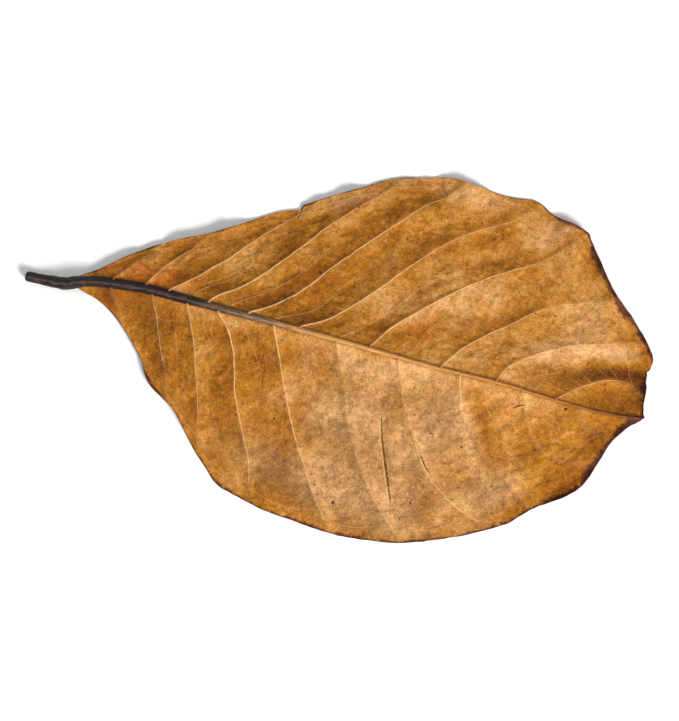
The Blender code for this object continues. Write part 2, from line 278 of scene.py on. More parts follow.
# Creases of the dried tissue: points, height of the ridge (less than 0 for a groove), and width on each side
CREASES = [
    ([(128.6, -3), (130.6, -9.4), (135.3, -15.5), (139.4, -20.4), (146, -26)], 0.75, 9, 2.0),
    ([(156, 7), (166, 10), (175, 12.2), (186, 13.2)], -0.6, 3.4, 1.7),
    ([(164, 5.5), (175, 9.4), (185, 7.6)], 0.45, 1.2, 3.0),
    ([(107.2, -18.3), (116.4, -44.4)], -0.28, 0.5, 0.5),
    ([(141, 38), (150, 31), (160, 22), (172, 14)], 0.35, 5, 2.2),
    ([(158, -10), (163, -13), (171, -14)], -0.4, 2.2, 1.2),
    ([(146, -6.5), (150.2, -4.4)], 0.3, 1.4, 0.8),
    ([(84, 14), (92, 24), (99, 36)], -0.3, 3, 1.6),
    ([(57, -14), (61, -27), (66, -38)], 0.3, 3, 1.5),
    ([(20, -3), (26, -8), (31, -15)], -0.35, 2, 1.4),
    ([(106, 9), (117, 18), (127, 24)], 0.28, 3.4, 1.6),
    ([(96, -10), (103, -25), (110, -37)], 0.25, 4, 1.6),
    ([(87, 47.2), (93, 51.6), (101, 55), (111, 58.2)], -0.3, 0.8, 1.4),
]

# Rumples: height, size, direction in degrees, how much longer than wide, and whether folded to a sharp crest,
# which a height below 0 makes a valley
RUMPLES = [
    (0.5, 15, 25, 1.4, False), (0.32, 9, -62, 1.7, True), (-0.26, 7, 48, 1.8, True),
    (0.26, 5, -20, 1.2, False), (0.24, 3.8, -55, 1.6, True), (-0.22, 3.3, 35, 1.5, True),
    (0.13, 2.0, 10, 1.0, True),
]

# Patches of tone and warmth on the underside, most of them its own blotches, a few of them painted shade and
# # painted light beside the midrib and along folds. Each has its middle as X and Y, half length, half width,
# turn in
# # degrees, tone and warmth; and then the strength of all their tones
PATCHES = [
    # Painted shade: a dark band along the midrib's upper side
    (62, 9, 44, 4, -2, -0.24, -0.1),
    (29, 11, 8, 4, 35, 0.2, -0.15),
    (117, 21, 13, 8, 38, 0.29, 0.1),
    (150, 46, 12, 5, -15, 0.22, 0.1),
    (84, 22, 17, 6, 48, -0.16, -0.15),
    (63, 16, 12, 5, 48, -0.08, -0.15),
    (105, 36, 14, 4, 48, -0.02, 0.0),
    (112, 56, 40, 3.4, -1, 0.06, 0.5),
    (84, 47, 16, 3, 31, 0.06, 0.5),
    (136, 28, 12, 6, 24, 0.22, -0.1),
    (128, 44, 18, 3, 22, -0.12, -0.2),
    (148, 51, 8, 4, 10, 0.16, 0.3),
    (165, 26, 13, 9, -30, 0.26, 0.4),
    (153, 12, 12, 5, 15, 0.26, 0.35),
    # Painted shade: darker along the groove of the fold near the tip
    (168, 9.8, 11, 2.2, 20, -0.32, 0.2),
    (181, 12.6, 8, 1.8, 5, -0.36, 0.1),
    (171, 17.2, 15, 2.6, 6, 0.3, 0.4),
    (28, 8.8, 15, 3, 2, 0.34, -0.7),
    (184, 9, 5, 3, -65, -0.3, -0.1),
    (181, 3, 8, 4, 0, -0.28, -0.2),
    (178, 20.5, 8, 3.4, -20, 0.14, 0.0),
    (184.5, 20, 4, 2.6, -50, 0.05, -0.9),
    # Painted light: pale strips along the midrib's lower side
    (108, -2.4, 60, 3, -1, 0.1, 0.2),
    (92, -0.2, 44, 1.8, -2, 0.22, -0.05),
    (102, -17, 26, 13, -12, 0.05, 0.45),
    (128, -14, 9, 8, 0, -0.14, 0.45),
    (102, -44, 28, 9, -8, 0.04, 0.75),
    (72, -42, 12, 6, -40, -0.1, 0.4),
    # Painted shade and painted light of the crease here: darker on its upper right side, paler on its lower
    # left
    (139.5, -14, 12, 2.2, -58, -0.26, -0.1),
    (134, -16, 12, 2.4, -58, 0.2, 0.3),
    (142, -22, 7, 2, -50, -0.2, -0.1),
    (36, -12, 15, 7, -60, -0.28, -0.15),
    (44, -5, 14, 4, -3, -0.24, 0.0),
    (18, 1, 14, 5, 25, -0.3, -0.3),
    (60, -30, 12, 5, -65, -0.12, 0.0),
    (170, -3, 14, 5, 0, -0.16, -0.1),
    (166, -20, 14, 9, 20, -0.12, -0.15),
    (172, -24, 14, 3, 42, -0.16, -0.35),
    (110, -33, 36, 17, -8, -0.03, 0.45),
    (100, -5, 14, 3.5, -2, 0.06, 0.45),
    (148, -33, 13, 6, 35, 0.04, 0.5),
    (84, -46, 9, 6, -20, -0.26, -0.1),
    (121, -11, 12, 5, -30, -0.12, 0.0),
    (45, -21, 7, 5, -60, 0.2, 0.1),
    (97, 10, 9, 5, 45, 0.16, 0.1),
    (101, 30, 8, 6, 48, 0.18, -0.1),
    (116, 26, 6, 5, 45, 0.12, 0.1),
    (46, 12, 6, 5, 30, -0.12, -0.15),
    (68, 12, 11, 5, 20, -0.1, -0.15),
    (25, -4, 7, 4, -20, -0.14, 0.0),
    (80, 22, 16, 4, 48, 0.0, -0.25),
    (125, -45, 9, 6, 10, -0.2, -0.1),
    (110, -14, 13, 7, -12, -0.12, -0.1),
    (100, 53, 12, 4, 5, -0.14, -0.1),
    (178, 11.5, 8, 3, 5, -0.12, -0.5),
    (115, 12, 6, 5, 45, -0.06, -0.4),
]
PATCH_STRENGTH = 0.8

# Tints between which the tissue drifts
PINK_TINT = (1.03, 0.965, 1.0)
YELLOW_TINT = (0.985, 1.015, 0.93)

# Dark rim of the blade where it is wider: place as X and Y, radius and added width; and its width elsewhere
WIDE_RIMS = [
    (187, 7, 8, 2.2), (186, -1, 5, 2.1), (182.5, -6, 5, 1.5), (179, -12, 5, 1.2), (174, 34, 10, 2.7),
    (182, 25, 5, 2.2), (163, 46, 6, 2.0), (150, 56, 6, 1.0), (165, -34, 12, 1.5), (176, -21, 8, 1.6),
    (68, 41, 3, 1.0), (100, -58, 30, 1.0), (146, -47, 7, 1.2), (60, -50, 9, 0.8), (30, -22, 9, 0.8),
]
RIM_WIDTH = 0.35

# Dark cracks as X and Y, and half their width; they are drawn up to a distance from their line
CRACKS = [
    ([(107.2, -18.3), (109.2, -25.4), (112.1, -33.2), (114.4, -39.2), (116.4, -44.4)], 0.34),
    ([(147, -6.2), (148.4, -5.0), (150, -4.6)], 0.27),
    ([(122.4, -27.6), (124.2, -30.4), (126.4, -32.2)], 0.2),
    ([(68.2, 39.4), (67.7, 38.1), (67.5, 36.6)], 0.2),
    ([(91.6, -7.5), (93.4, -12.6), (95.4, -17.4)], 0.13),
]
CRACK_REACH = 4
CRACK_FADE = 2
CRACK_POWER = 0.35

# Dark specks on the underside as X, Y and radius, and small ones strewn over it
SPECKS = [
    (98.3, -48.2, 0.62), (162.8, -2.8, 0.5), (122.6, -43, 0.35), (120.2, -48.6, 0.3), (133.8, -21.8, 0.35),
    (123.5, -20, 0.3), (74.5, -26.5, 0.34), (85.3, 44.4, 0.36), (110.6, 22.9, 0.32), (78.5, 21.5, 0.3),
    (150, -14, 0.34), (156.2, 15, 0.3), (147, 24.5, 0.28), (148.2, -5.3, 0.5),
]
STREWN_SPECKS = 150
STREWN_STATIONS = (12, 184)
STREWN_ACROSS = (0.06, 0.97)
STREWN_RADII = (0.09, 0.2)
SPECK_SUNK = 0.11
SPECK_SEED = 5

# Grid of the blade: rows along it, columns across each half and across the midrib, of which its lower face
# takes every other, and the steps at the rim and at the midrib's foot. Each half has its own first panel
ROWS = 300
HALF_COLUMNS = 100
RIB_COLUMNS = 12
FIRST_STATION = 3.5
LAST_STATION = 188.3
RIM_STEPS = (0.16, 0.22, 0.32, 0.42)
FOOT_STEPS = (0.25, 0.3, 0.36, 0.45)
LEAST_FULL_RUN = 7
SMOOTH_STEPS = 12
FAR_FROM_RIM = 20.0
PANEL_START = {1: 0, -1: 20}

# What the blade's materials read at each of its points, and their slots
SURFACE_VALUES = (
    "tone", "warmth", "margin", "rim_width", "from_rib", "panel", "panel_width", "rib_side", "crack",
    "crack_open",
)
UNDERSIDE_SLOT, UPPER_SIDE_SLOT, MIDRIB_SLOT = 0, 1, 2

# View: the leaf points to the right and this far down in the picture
PICTURE_TURN = math.radians(13.05)
PICTURE_SIZE = (679, 721)
LEAF_SHARE_OF_PICTURE = 0.93
CAMERA_LENS = 100
SENSOR_WIDTH = 36

# Stage: the floor, and the square lights with azimuth from +X, elevation, distance, size, power and colour
FLOOR_REACH = 9.0
FLOOR_DROP = 0.00003
LIGHTS = {
    "key_light": (-38, 37, 1.1, 0.42, 19, (1.0, 0.985, 0.96)),
    "fill_light": (140, 50, 1.4, 1.2, 6.8, (0.97, 0.985, 1.0)),
}
ROOM_COLOUR = (0.98, 0.99, 1.0)
ROOM_STRENGTH = 0.36


def smooth_curve(points, steps=SMOOTH_STEPS):
    """Points along the smooth curve that passes through the given ones."""
    points = np.array(points, float)
    if len(points) < 3:
        return points
    before = np.vstack([2 * points[0] - points[1], points[:-1]])
    after = np.vstack([points[1:], 2 * points[-1] - points[-2]])
    slopes = (after - before) / 2
    u = np.linspace(0, 1, steps, endpoint=False)[:, None]
    found = []
    for k in range(len(points) - 1):
        found.append(
            (1 + 2 * u) * (1 - u) ** 2 * points[k]
            + u * (1 - u) ** 2 * slopes[k]
            + u * u * (3 - 2 * u) * points[k + 1]
            + u * u * (u - 1) * slopes[k + 1]
        )
    return np.vstack(found + [points[-1]])


ARCH_CURVE = smooth_curve(ARCH)
ROOF_CURVE = smooth_curve(ROOF)
MIDRIB_CURVE = smooth_curve(MIDRIB_LINE)
WIDTH_CURVE = np.array(MIDRIB_WIDTH, float)
STALK_CURVE = smooth_curve(STALK)


def read_curve(curve, x, column=1):
    return np.interp(x, curve[:, 0], curve[:, column])


def half_midrib(station):
    return read_curve(WIDTH_CURVE, station) / 2


def hump(distance, reach):
    """1 at no distance, falling off roundly on both sides."""
    return np.exp(-((distance / reach) ** 2))


def fading(distance, reach):
    """1 at the start, fading with distance."""
    return np.exp(-distance / reach)


def rising(distance, run):
    """0 at the start, rising evenly to 1 at the end of the run."""
    return np.clip(distance / run, 0, 1)


def wobble(distance, wavelength, seed):
    """Smooth random line between -1 and 1, with one free value for each wavelength."""
    values = np.random.default_rng(seed).uniform(-1, 1, 512)
    place = np.asarray(distance, float) / wavelength
    low = np.floor(place).astype(int)
    part = place - low
    part = part * part * (3 - 2 * part)
    return values[low % 512] * (1 - part) + values[(low + 1) % 512] * part


def field(x, y, size, seed):
    """Smooth random field between -1 and 1, with one free value in each square of this size."""
    values = np.random.default_rng(seed).uniform(-1, 1, (128, 128))
    column, row = np.asarray(x, float) / size, np.asarray(y, float) / size
    left, low = np.floor(column).astype(int), np.floor(row).astype(int)
    across, up = column - left, row - low
    across = across * across * (3 - 2 * across)
    up = up * up * (3 - 2 * up)
    left, right = left % 128, (left + 1) % 128
    low, high = low % 128, (low + 1) % 128
    below = values[low, left] * (1 - across) + values[low, right] * across
    above = values[high, left] * (1 - across) + values[high, right] * across
    return below * (1 - up) + above * up


def rumpled(x, y):
    """Height of the rumples of dried tissue: swellings, and folds with a sharp crest or valley."""
    total = np.zeros(np.shape(x))
    for height, size, turn, stretch, folded in RUMPLES:
        angle = math.radians(turn)
        along, aside = x * math.cos(angle) + y * math.sin(angle), y * math.cos(angle) - x * math.sin(angle)
        value = field(along / stretch, aside, size, int(10 * size))
        total += height * (1 - 2.2 * np.abs(value) if folded else value)
    return total


def edge_path(side):
    """Points of one side's edge from base to tip, and how far along it they are."""
    points = np.vstack([smooth_curve(run) for run in EDGE[side]])
    steps = np.linalg.norm(np.diff(points, axis=0), axis=1)
    return points, np.concatenate([[0], np.cumsum(steps)])


EDGE_PATHS = {side: edge_path(side) for side in EDGE}
VEIN_STATIONS = {}
VEIN_REACHES = {}
VEIN_BOWS = {}


def reach_of(side, station):
    """How far along the edge a row ends."""
    return np.interp(station, VEIN_STATIONS[side], VEIN_REACHES[side])


def edge_point(side, reach):
    """Point of the edge at this distance along it."""
    points, along = EDGE_PATHS[side]
    return np.interp(reach, along, points[:, 0]), np.interp(reach, along, points[:, 1])


def nearest_edge_number(side, place):
    """Number of the edge's point that is nearest to a place."""
    return np.argmin(np.linalg.norm(EDGE_PATHS[side][0] - place, axis=1))


def straight_run(side, station):
    """Foot of a row at the midrib, and its straight run from there to the edge, as four numbers or arrays."""
    foot_y = read_curve(MIDRIB_CURVE, station) + side * half_midrib(station)
    end_x, end_y = edge_point(side, reach_of(side, station))
    return station, foot_y, end_x - station, end_y - foot_y


def run_length(side, station):
    _, _, run_x, run_y = straight_run(side, station)
    return np.hypot(run_x, run_y)


def wear(layer, side, reach):
    """Depth of one layer of wear along the edge."""
    depth, wavelength, seed = layer
    return depth * (1 + wobble(reach, wavelength, seed + side))


def worn_edge(side, station):
    """How far the edge is worn back: a little everywhere, and more at the tip."""
    reach = reach_of(side, station)
    at_tip = rising(edge_point(side, reach)[0] - TIP_WEAR_START, TIP_WEAR_RUN)
    everywhere = wear(FINE_WEAR, side, reach) + wear(BROAD_WEAR, side, reach)
    return (everywhere + at_tip * wear(TIP_WEAR, side, reach)) * rising(reach, UNWORN_BASE)


def nick_shift(side, station, across, length):
    """How far a nick pushes each place inwards: most at the nick's far side, and less toward the base."""
    if side not in NICKS:
        return np.zeros(station.shape), np.zeros(station.shape)
    middle, depth, span = NICKS[side]
    points, along = EDGE_PATHS[side]
    nearest = nearest_edge_number(side, middle)
    forward = points[nearest + 1] - points[nearest - 1]
    forward = forward / np.linalg.norm(forward)
    behind = along[nearest] - reach_of(side, station)
    share = np.where(behind >= 0, fading(np.maximum(behind, 0), span), 0)
    amount = side * depth * share * fading((1 - across) * length, NICK_REACH)
    return amount * forward[1], -amount * forward[0]


def read_veins(side):
    """Fills a side's tables: stations, distances along the edge, and how veins bow off their straight run."""
    along = EDGE_PATHS[side][1]
    reached = [along[nearest_edge_number(side, end)] for _, end, _ in VEINS[side]]
    origins = [origin for origin, _, _ in VEINS[side]]
    VEIN_STATIONS[side] = np.array([FIRST_STATION, *origins, LAST_STATION])
    VEIN_REACHES[side] = np.array([0, *reached, along[-1]])
    places = np.linspace(0, 1, VEIN_BOW_PLACES)
    bows = [np.zeros(VEIN_BOW_PLACES)]
    for origin, _, passed in VEINS[side]:
        foot_x, foot_y, run_x, run_y = straight_run(side, origin)
        square = run_x**2 + run_y**2
        line = [(0, 0)]
        for x, y in passed:
            place = ((x - foot_x) * run_x + (y - foot_y) * run_y) / square
            bow = side * (run_x * (y - foot_y) - run_y * (x - foot_x)) / square
            line.append((place, bow))
        line = smooth_curve(line + [(1, 0)])
        bows.append(np.interp(places, line[:, 0], line[:, 1]))
    VEIN_BOWS[side] = np.array(bows + [np.zeros(VEIN_BOW_PLACES)])


for each_side in VEINS:
    read_veins(each_side)


def read_table(table, row, column):
    """Value of a table between its rows and columns."""
    top = np.clip(np.floor(row).astype(int), 0, table.shape[0] - 2)
    left = np.clip(np.floor(column).astype(int), 0, table.shape[1] - 2)
    down, right = row - top, column - left
    upper = table[top, left] * (1 - right) + table[top, left + 1] * right
    lower = table[top + 1, left] * (1 - right) + table[top + 1, left + 1] * right
    return upper * (1 - down) + lower * down


def panel_of(side, station):
    """Whole number on each side vein, and parts of one between them."""
    return np.interp(station, VEIN_STATIONS[side], np.arange(len(VEIN_STATIONS[side])))


def blunt_tip(x, y):
    """X of places near the tip, drawn back on both sides of its point, so that it ends ragged, not square."""
    depth, wavelength, seed = TIP_RAGS
    near = rising(x - TIP_START, LAST_STATION - TIP_START) ** 2
    rags = depth * (1 + wobble(y + TIP_RAGS_START, wavelength, seed))
    return x - near * (TIP_DRAWN_BACK * np.abs(y - TIP_POINT_Y) ** TIP_POWER + rags)


def plan(side, station, across):
    """Place in the drawing, from the midrib's foot at 0 to the edge at 1, along the side veins' run."""
    station, across = np.broadcast_arrays(np.asarray(station, float), np.asarray(across, float))
    foot_x, foot_y, run_x, run_y = straight_run(side, station)
    bow = read_table(VEIN_BOWS[side], panel_of(side, station), across * (VEIN_BOW_PLACES - 1))
    length = np.hypot(run_x, run_y)
    pulled = worn_edge(side, station) / length * across * fading((1 - across) * length, WORN_REACH)
    x = foot_x + run_x * (across - pulled) - side * bow * run_y
    y = foot_y + run_y * (across - pulled) + side * bow * run_x
    shift_x, shift_y = nick_shift(side, station, across, length)
    return blunt_tip(x + shift_x, y + shift_y), y + shift_y


def spread(side, station, across):
    """Distance between two rows, square to their run, for each millimetre of station."""
    near_x, near_y = plan(side, station - 0.5, across)
    far_x, far_y = plan(side, station + 0.5, across)
    in_x, in_y = plan(side, station, np.clip(across - 0.02, 0, 1))
    out_x, out_y = plan(side, station, np.clip(across + 0.02, 0, 1))
    step_x, step_y = out_x - in_x, out_y - in_y
    area = np.abs((far_x - near_x) * step_y - (far_y - near_y) * step_x)
    return np.maximum(area / np.maximum(np.hypot(step_x, step_y), 1e-6), 0.25)


def vein_gap(side, station, across):
    """Distance to the nearest side vein in millimetres, less than 0 on its base side."""
    stations = VEIN_STATIONS[side][1:-1]
    nearest = np.abs(station[..., None] - stations).argmin(-1)
    return (station - stations[nearest]) * spread(side, station, across)


def line_distance(x, y, line):
    """Distance from places to a line, less than 0 on its right, and the share of the line before them."""
    nearest = np.full(np.shape(x), np.inf)
    signed, reached = np.zeros(np.shape(x)), np.zeros(np.shape(x))
    start = 0.0
    for (ax, ay), (bx, by) in zip(line, line[1:]):
        run_x, run_y = bx - ax, by - ay
        length = math.hypot(run_x, run_y)
        share = np.clip(((x - ax) * run_x + (y - ay) * run_y) / length**2, 0, 1)
        gap = np.hypot(x - ax - share * run_x, y - ay - share * run_y)
        on_left = run_x * (y - ay) - run_y * (x - ax) > 0
        closer = gap < nearest
        signed = np.where(closer, np.where(on_left, gap, -gap), signed)
        reached = np.where(closer, start + share * length, reached)
        nearest = np.minimum(nearest, gap)
        start += length
    return signed, np.clip(reached / start, 0, 1)


def crease_height(x, y):
    """Height of all creases: each is a ridge or groove along its line, of its own width on either side."""
    total = np.zeros(np.shape(x))
    for points, height, left_width, right_width in CREASES:
        gap, _ = line_distance(x, y, points)
        width = np.where(gap > 0, left_width, right_width)
        from_start, from_end = (np.hypot(x - end[0], y - end[1]) for end in (points[0], points[-1]))
        total += height * hump(gap, width) * np.clip(0.25 + np.minimum(from_start, from_end) / 6, 0, 1)
    return total


def lower_height(side, station, across, x, y):
    """Height of the blade's lower face: the solid's form, with the crumpling of dried tissue on it."""
    length = run_length(side, station)
    height = read_curve(ARCH_CURVE, x) - read_curve(ROOF_CURVE, x) * (1 - (1 - across) ** ROOF_POWER)
    curl, curl_place, curl_reach = EDGE_CURL[side]
    lift = EDGE_LIFT[side] + curl * hump(x - curl_place, curl_reach)
    for wave, wavelength, phase in EDGE_WAVES[side]:
        lift = lift + wave * np.sin(2 * math.pi * x / wavelength + phase)
    at_base = np.where(station < BASE_LIFT_END, rising(length, BASE_LIFT_RUN) ** 1.5, 1)
    height = height + lift * across**EDGE_LIFT_POWER * at_base
    between = np.sin(math.pi * (panel_of(side, station) % 1)) ** 2
    full = np.minimum(1, length / FULL_SAG_RUN) ** 2
    height = height - PANEL_SAG * full * between * np.sqrt(np.clip(across * (1 - across) * 4, 0, 1))
    height = height - GROUND_OFFSET * across
    calm = rising(across * length, CALM_RUN) * np.clip(length / CALM_LENGTH, 0.15, 1)
    return np.maximum(height + calm * (rumpled(x, y) + crease_height(x, y)), 0)


def swelling(settings, distance):
    height, reach = settings
    return height * hump(distance, reach)


def upper_relief(side, station, across, fine_vein_gap):
    """Height of the upper face over the sheet of the blade: swellings along the veins and the rolled rim."""
    length = run_length(side, station)
    from_foot, from_edge = across * length, (1 - across) * length
    along_veins = swelling(VEIN_SWELLING, vein_gap(side, station, across)) * (1 - VEIN_SWELLING_FADE * across)
    along_fine_veins = swelling(FINE_VEIN_SWELLING, fine_vein_gap) * rising(from_foot, FINE_VEIN_SWELLING_RUN)
    foot = MIDRIB_FOOT[0] * fading(from_foot, MIDRIB_FOOT[1]) * half_midrib(station)
    rim = ROLLED_RIM[0] * fading(from_edge, ROLLED_RIM[1])
    return along_veins + along_fine_veins + foot + rim


def placed(x, y, z):
    """Points of the drawing, in metres from the middle of the leaf."""
    x, y, z = np.broadcast_arrays(x, y, z)
    return np.stack([(x - DRAWING_CENTRE[0]) * MM, (y - DRAWING_CENTRE[1]) * MM, z * MM], -1)


def patch_values(x, y):
    """Tone and warmth of the patches at these places, painted shade and painted light among them."""
    tone, warmth = np.zeros(np.shape(x)), np.zeros(np.shape(x))
    for middle_x, middle_y, half_length, half_width, turn, own_tone, own_warmth in PATCHES:
        angle = math.radians(turn)
        along = (x - middle_x) * math.cos(angle) + (y - middle_y) * math.sin(angle)
        aside = (y - middle_y) * math.cos(angle) - (x - middle_x) * math.sin(angle)
        share = hump(along, half_length) * hump(aside, half_width)
        tone = tone + PATCH_STRENGTH * own_tone * share
        warmth = warmth + own_warmth * share
    return tone, warmth


def painted_vein_shading(side, gap):
    """Change of tone beside the side veins: painted shade on one side of each and painted light on the other.
    """
    shade = sum(depth * hump(gap - place, reach) for depth, place, reach in VEIN_PAINTED_SHADES)
    depth, place, reach = VEIN_PAINTED_LIGHT
    return depth * hump(gap - place, reach) - VEIN_PAINTED_SHADE_STRENGTH[side] * shade


def crack_values(x, y):
    """Distance to the nearest crack in its half widths, less than 0 on its right, and how open it is."""
    nearest = np.full(np.shape(x), np.inf)
    in_widths, openness = np.zeros(np.shape(x)), np.zeros(np.shape(x))
    for points, half_width in CRACKS:
        gap, share = line_distance(x, y, smooth_curve(points, 4))
        closer = np.abs(gap) < nearest
        in_widths = np.where(closer, gap / half_width, in_widths)
        openness = np.where(closer, np.sin(math.pi * share) ** CRACK_POWER, openness)
        nearest = np.minimum(nearest, np.abs(gap))
    return in_widths, openness * rising(CRACK_REACH - nearest, CRACK_FADE)


def rim_widths(x, y):
    """Width of the dark rim near these places."""
    width = np.full(np.shape(x), RIM_WIDTH)
    for middle_x, middle_y, radius, added in WIDE_RIMS:
        width = width + added * hump(np.hypot(x - middle_x, y - middle_y), radius)
    return width


def point_tree(points):
    """Tree that finds the nearest of these points."""
    tree = kdtree.KDTree(len(points))
    for number, (x, y) in enumerate(points):
        tree.insert((x, y, 0), number)
    tree.balance()
    return tree


def distances(tree, x, y):
    """Distance from each place to the nearest point of the tree."""
    return np.array([tree.find((px, py, 0))[2] for px, py in zip(x.ravel(), y.ravel())]).reshape(x.shape)


def edge_tree():
    """Tree of points along the whole edge."""
    count = 2 * sum(len(points) for points, _ in EDGE_PATHS.values())
    found = []
    for side, (_, along) in EDGE_PATHS.items():
        found += zip(*edge_point(side, np.linspace(0, along[-1], count)))
    return point_tree(found)


def rungs_of(rng, wide, length, rung_length):
    """Finer veins like rungs across a panel, each with its place and tilt, and its line."""
    step = CROSS_VEIN_SPACING / length * min(3, (rung_length / wide) ** 1.5)
    place = step * rng.uniform(0.5, 0.9)
    rungs, lines = [], []
    while place < 0.95:
        tilt = rng.uniform(-0.2, 0.55) * wide / length * 0.4
        t = np.linspace(0, 1, max(5, int(wide / 0.9)))
        sway = rng.uniform(0.3, 0.9) * np.sin(t * math.pi * rng.uniform(1.2, 3) + rng.uniform(0, 6))
        sway = sway * np.sin(t * math.pi) / length
        width = CROSS_VEIN_HALF_WIDTH * rng.uniform(0.7, 1.25) * (1 - 0.35 * np.sin(t * math.pi))
        across = np.clip(place + tilt * (t - 0.5) + sway, 0.01, 0.97)
        lines.append((t, across, width * min(1, wide / rung_length)))
        rungs.append((place, tilt))
        place += step * rng.uniform(0.62, 1.35)
    return rungs, lines


def twigs_of(rng, rungs, wide):
    """Short veins, each from one rung to the next."""
    lines = []
    for (low, low_tilt), (high, high_tilt) in zip(rungs, rungs[1:]):
        if rng.uniform() < 0.5 and wide > TWIG_PANEL_WIDTH:
            a, b = rng.uniform(0.25, 0.75, 2)
            t = np.linspace(0, 1, 6)
            across = (low + low_tilt * (a - 0.5)) * (1 - t) + (high + high_tilt * (b - 0.5)) * t
            lines.append((a + (b - a) * t, across, np.full(6, CROSS_VEIN_HALF_WIDTH * 0.7)))
    return lines


def panel_veins(rng, side, panel):
    """Finer veins of one panel, each as a side, stations, places across, and half widths."""
    start, end = VEIN_STATIONS[side][panel : panel + 2]
    middle = (start + end) / 2
    length = float(run_length(side, middle))
    wide = float(spread(side, np.array(middle), np.array(0.5))) * (end - start)
    (x0, x1), (y0, y1) = plan(side, [start, end], [0.55, 0.55])
    rungs, lines = rungs_of(rng, wide, length, math.hypot(x1 - x0, y1 - y0))
    lines += twigs_of(rng, rungs, wide)
    if wide > MIDDLE_VEIN_PANEL_WIDTH and panel > 0:
        t = np.linspace(0, 1, 24)
        far = rng.uniform(0.3, 0.55)
        own = rng.uniform(0.4, 0.6) + 0.07 * np.sin(t * 7 + panel)
        lines.append((own, 0.012 + far * t, CROSS_VEIN_HALF_WIDTH * (1.5 - 0.9 * t)))
    if wide > LOOP_PANEL_WIDTH and 0 < panel < len(VEIN_STATIONS[side]) - 4:
        t = np.linspace(0, 1, 20)
        loop = VEIN_FADE_PLACE - 0.01 + 0.035 * np.sin(t * math.pi) - 0.05 * t
        lines.append((t, loop, CROSS_VEIN_HALF_WIDTH * (1.5 - 0.5 * t)))
    return [(side, start + (end - start) * place, across, width) for place, across, width in lines]


def cross_vein_paths():
    """The finer veins of all panels but the last of each side."""
    rng = np.random.default_rng(CROSS_VEIN_SEED)
    paths = []
    for side in VEINS:
        for panel in range(len(VEIN_STATIONS[side]) - 2):
            paths += panel_veins(rng, side, panel)
    return paths


CROSS_VEINS = cross_vein_paths()


def cross_vein_tree():
    """Tree of points along the finer veins."""
    found = []
    for side, stations, across, _ in CROSS_VEINS:
        x, y = plan(side, stations, across)
        for k in range(len(x) - 1):
            count = max(1, int(math.hypot(x[k + 1] - x[k], y[k + 1] - y[k]) / CROSS_VEIN_MARK_STEP))
            for share in np.arange(count) / count:
                found.append((x[k] * (1 - share) + x[k + 1] * share, y[k] * (1 - share) + y[k + 1] * share))
    return point_tree(found)


def row_stations():
    """Stations of the rows, closer together where the veins fan out and at the nick."""
    fine = np.linspace(FIRST_STATION, LAST_STATION, 4000)
    weight = np.ones(len(fine))
    for side in EDGE:
        weight = weight + np.gradient(reach_of(side, fine), fine)
    for side, (middle, _, _) in NICKS.items():
        reach = EDGE_PATHS[side][1][nearest_edge_number(side, middle)]
        station = np.interp(reach, VEIN_REACHES[side], VEIN_STATIONS[side])
        weight = weight + NICK_CROWDING * hump(fine - station, NICK_CROWD_REACH)
    total = np.concatenate([[0], np.cumsum((weight[1:] + weight[:-1]) / 2)])
    return np.interp(np.linspace(0, total[-1], ROWS + 1), total, fine)


def row_places(length):
    """Places across a row from the midrib's foot to the rim, closer together at both."""
    fixed_foot, fixed_rim = np.array(FOOT_STEPS), np.array(RIM_STEPS)[::-1]
    scale = min(1, length / LEAST_FULL_RUN)
    free = HALF_COLUMNS + 1 - len(fixed_foot) - len(fixed_rim)
    rest = (length - scale * (fixed_foot.sum() + fixed_rim.sum())) / free
    steps = np.concatenate([fixed_foot * scale, np.full(free, rest), fixed_rim * scale])
    return np.concatenate([[0], np.cumsum(steps)]) / length


def half_grid(side, stations, edge, fine_veins):
    """Points of one half of the blade as rows by columns, and what its materials read at each."""
    across = np.array([row_places(length) for length in run_length(side, stations)])
    across[:, -1] = 1
    station = np.repeat(stations[:, None], across.shape[1], axis=1)
    x, y = plan(side, station, across)
    low = lower_height(side, station, across, x, y)
    tone, warmth = patch_values(x, y)
    panel = panel_of(side, station)
    panel_runs = np.diff(VEIN_STATIONS[side])
    run = panel_runs[np.minimum(panel.astype(int), len(panel_runs) - 1)]
    crack, crack_open = crack_values(x, y)
    return {
        "x": x,
        "y": y,
        "low": low,
        "high": low + upper_relief(side, station, across, distances(fine_veins, x, y)),
        # Tone of the patches, with the painted shade and painted light beside the side veins
        "tone": tone + painted_vein_shading(side, vein_gap(side, station, across)),
        "warmth": warmth,
        "margin": distances(edge, x, y),
        "rim_width": rim_widths(x, y),
        "from_rib": across * run_length(side, station),
        "panel": panel + PANEL_START[side],
        "panel_width": run * spread(side, station, across),
        "rib_side": np.full(x.shape, float(side)),
        "crack": crack,
        "crack_open": crack_open,
    }


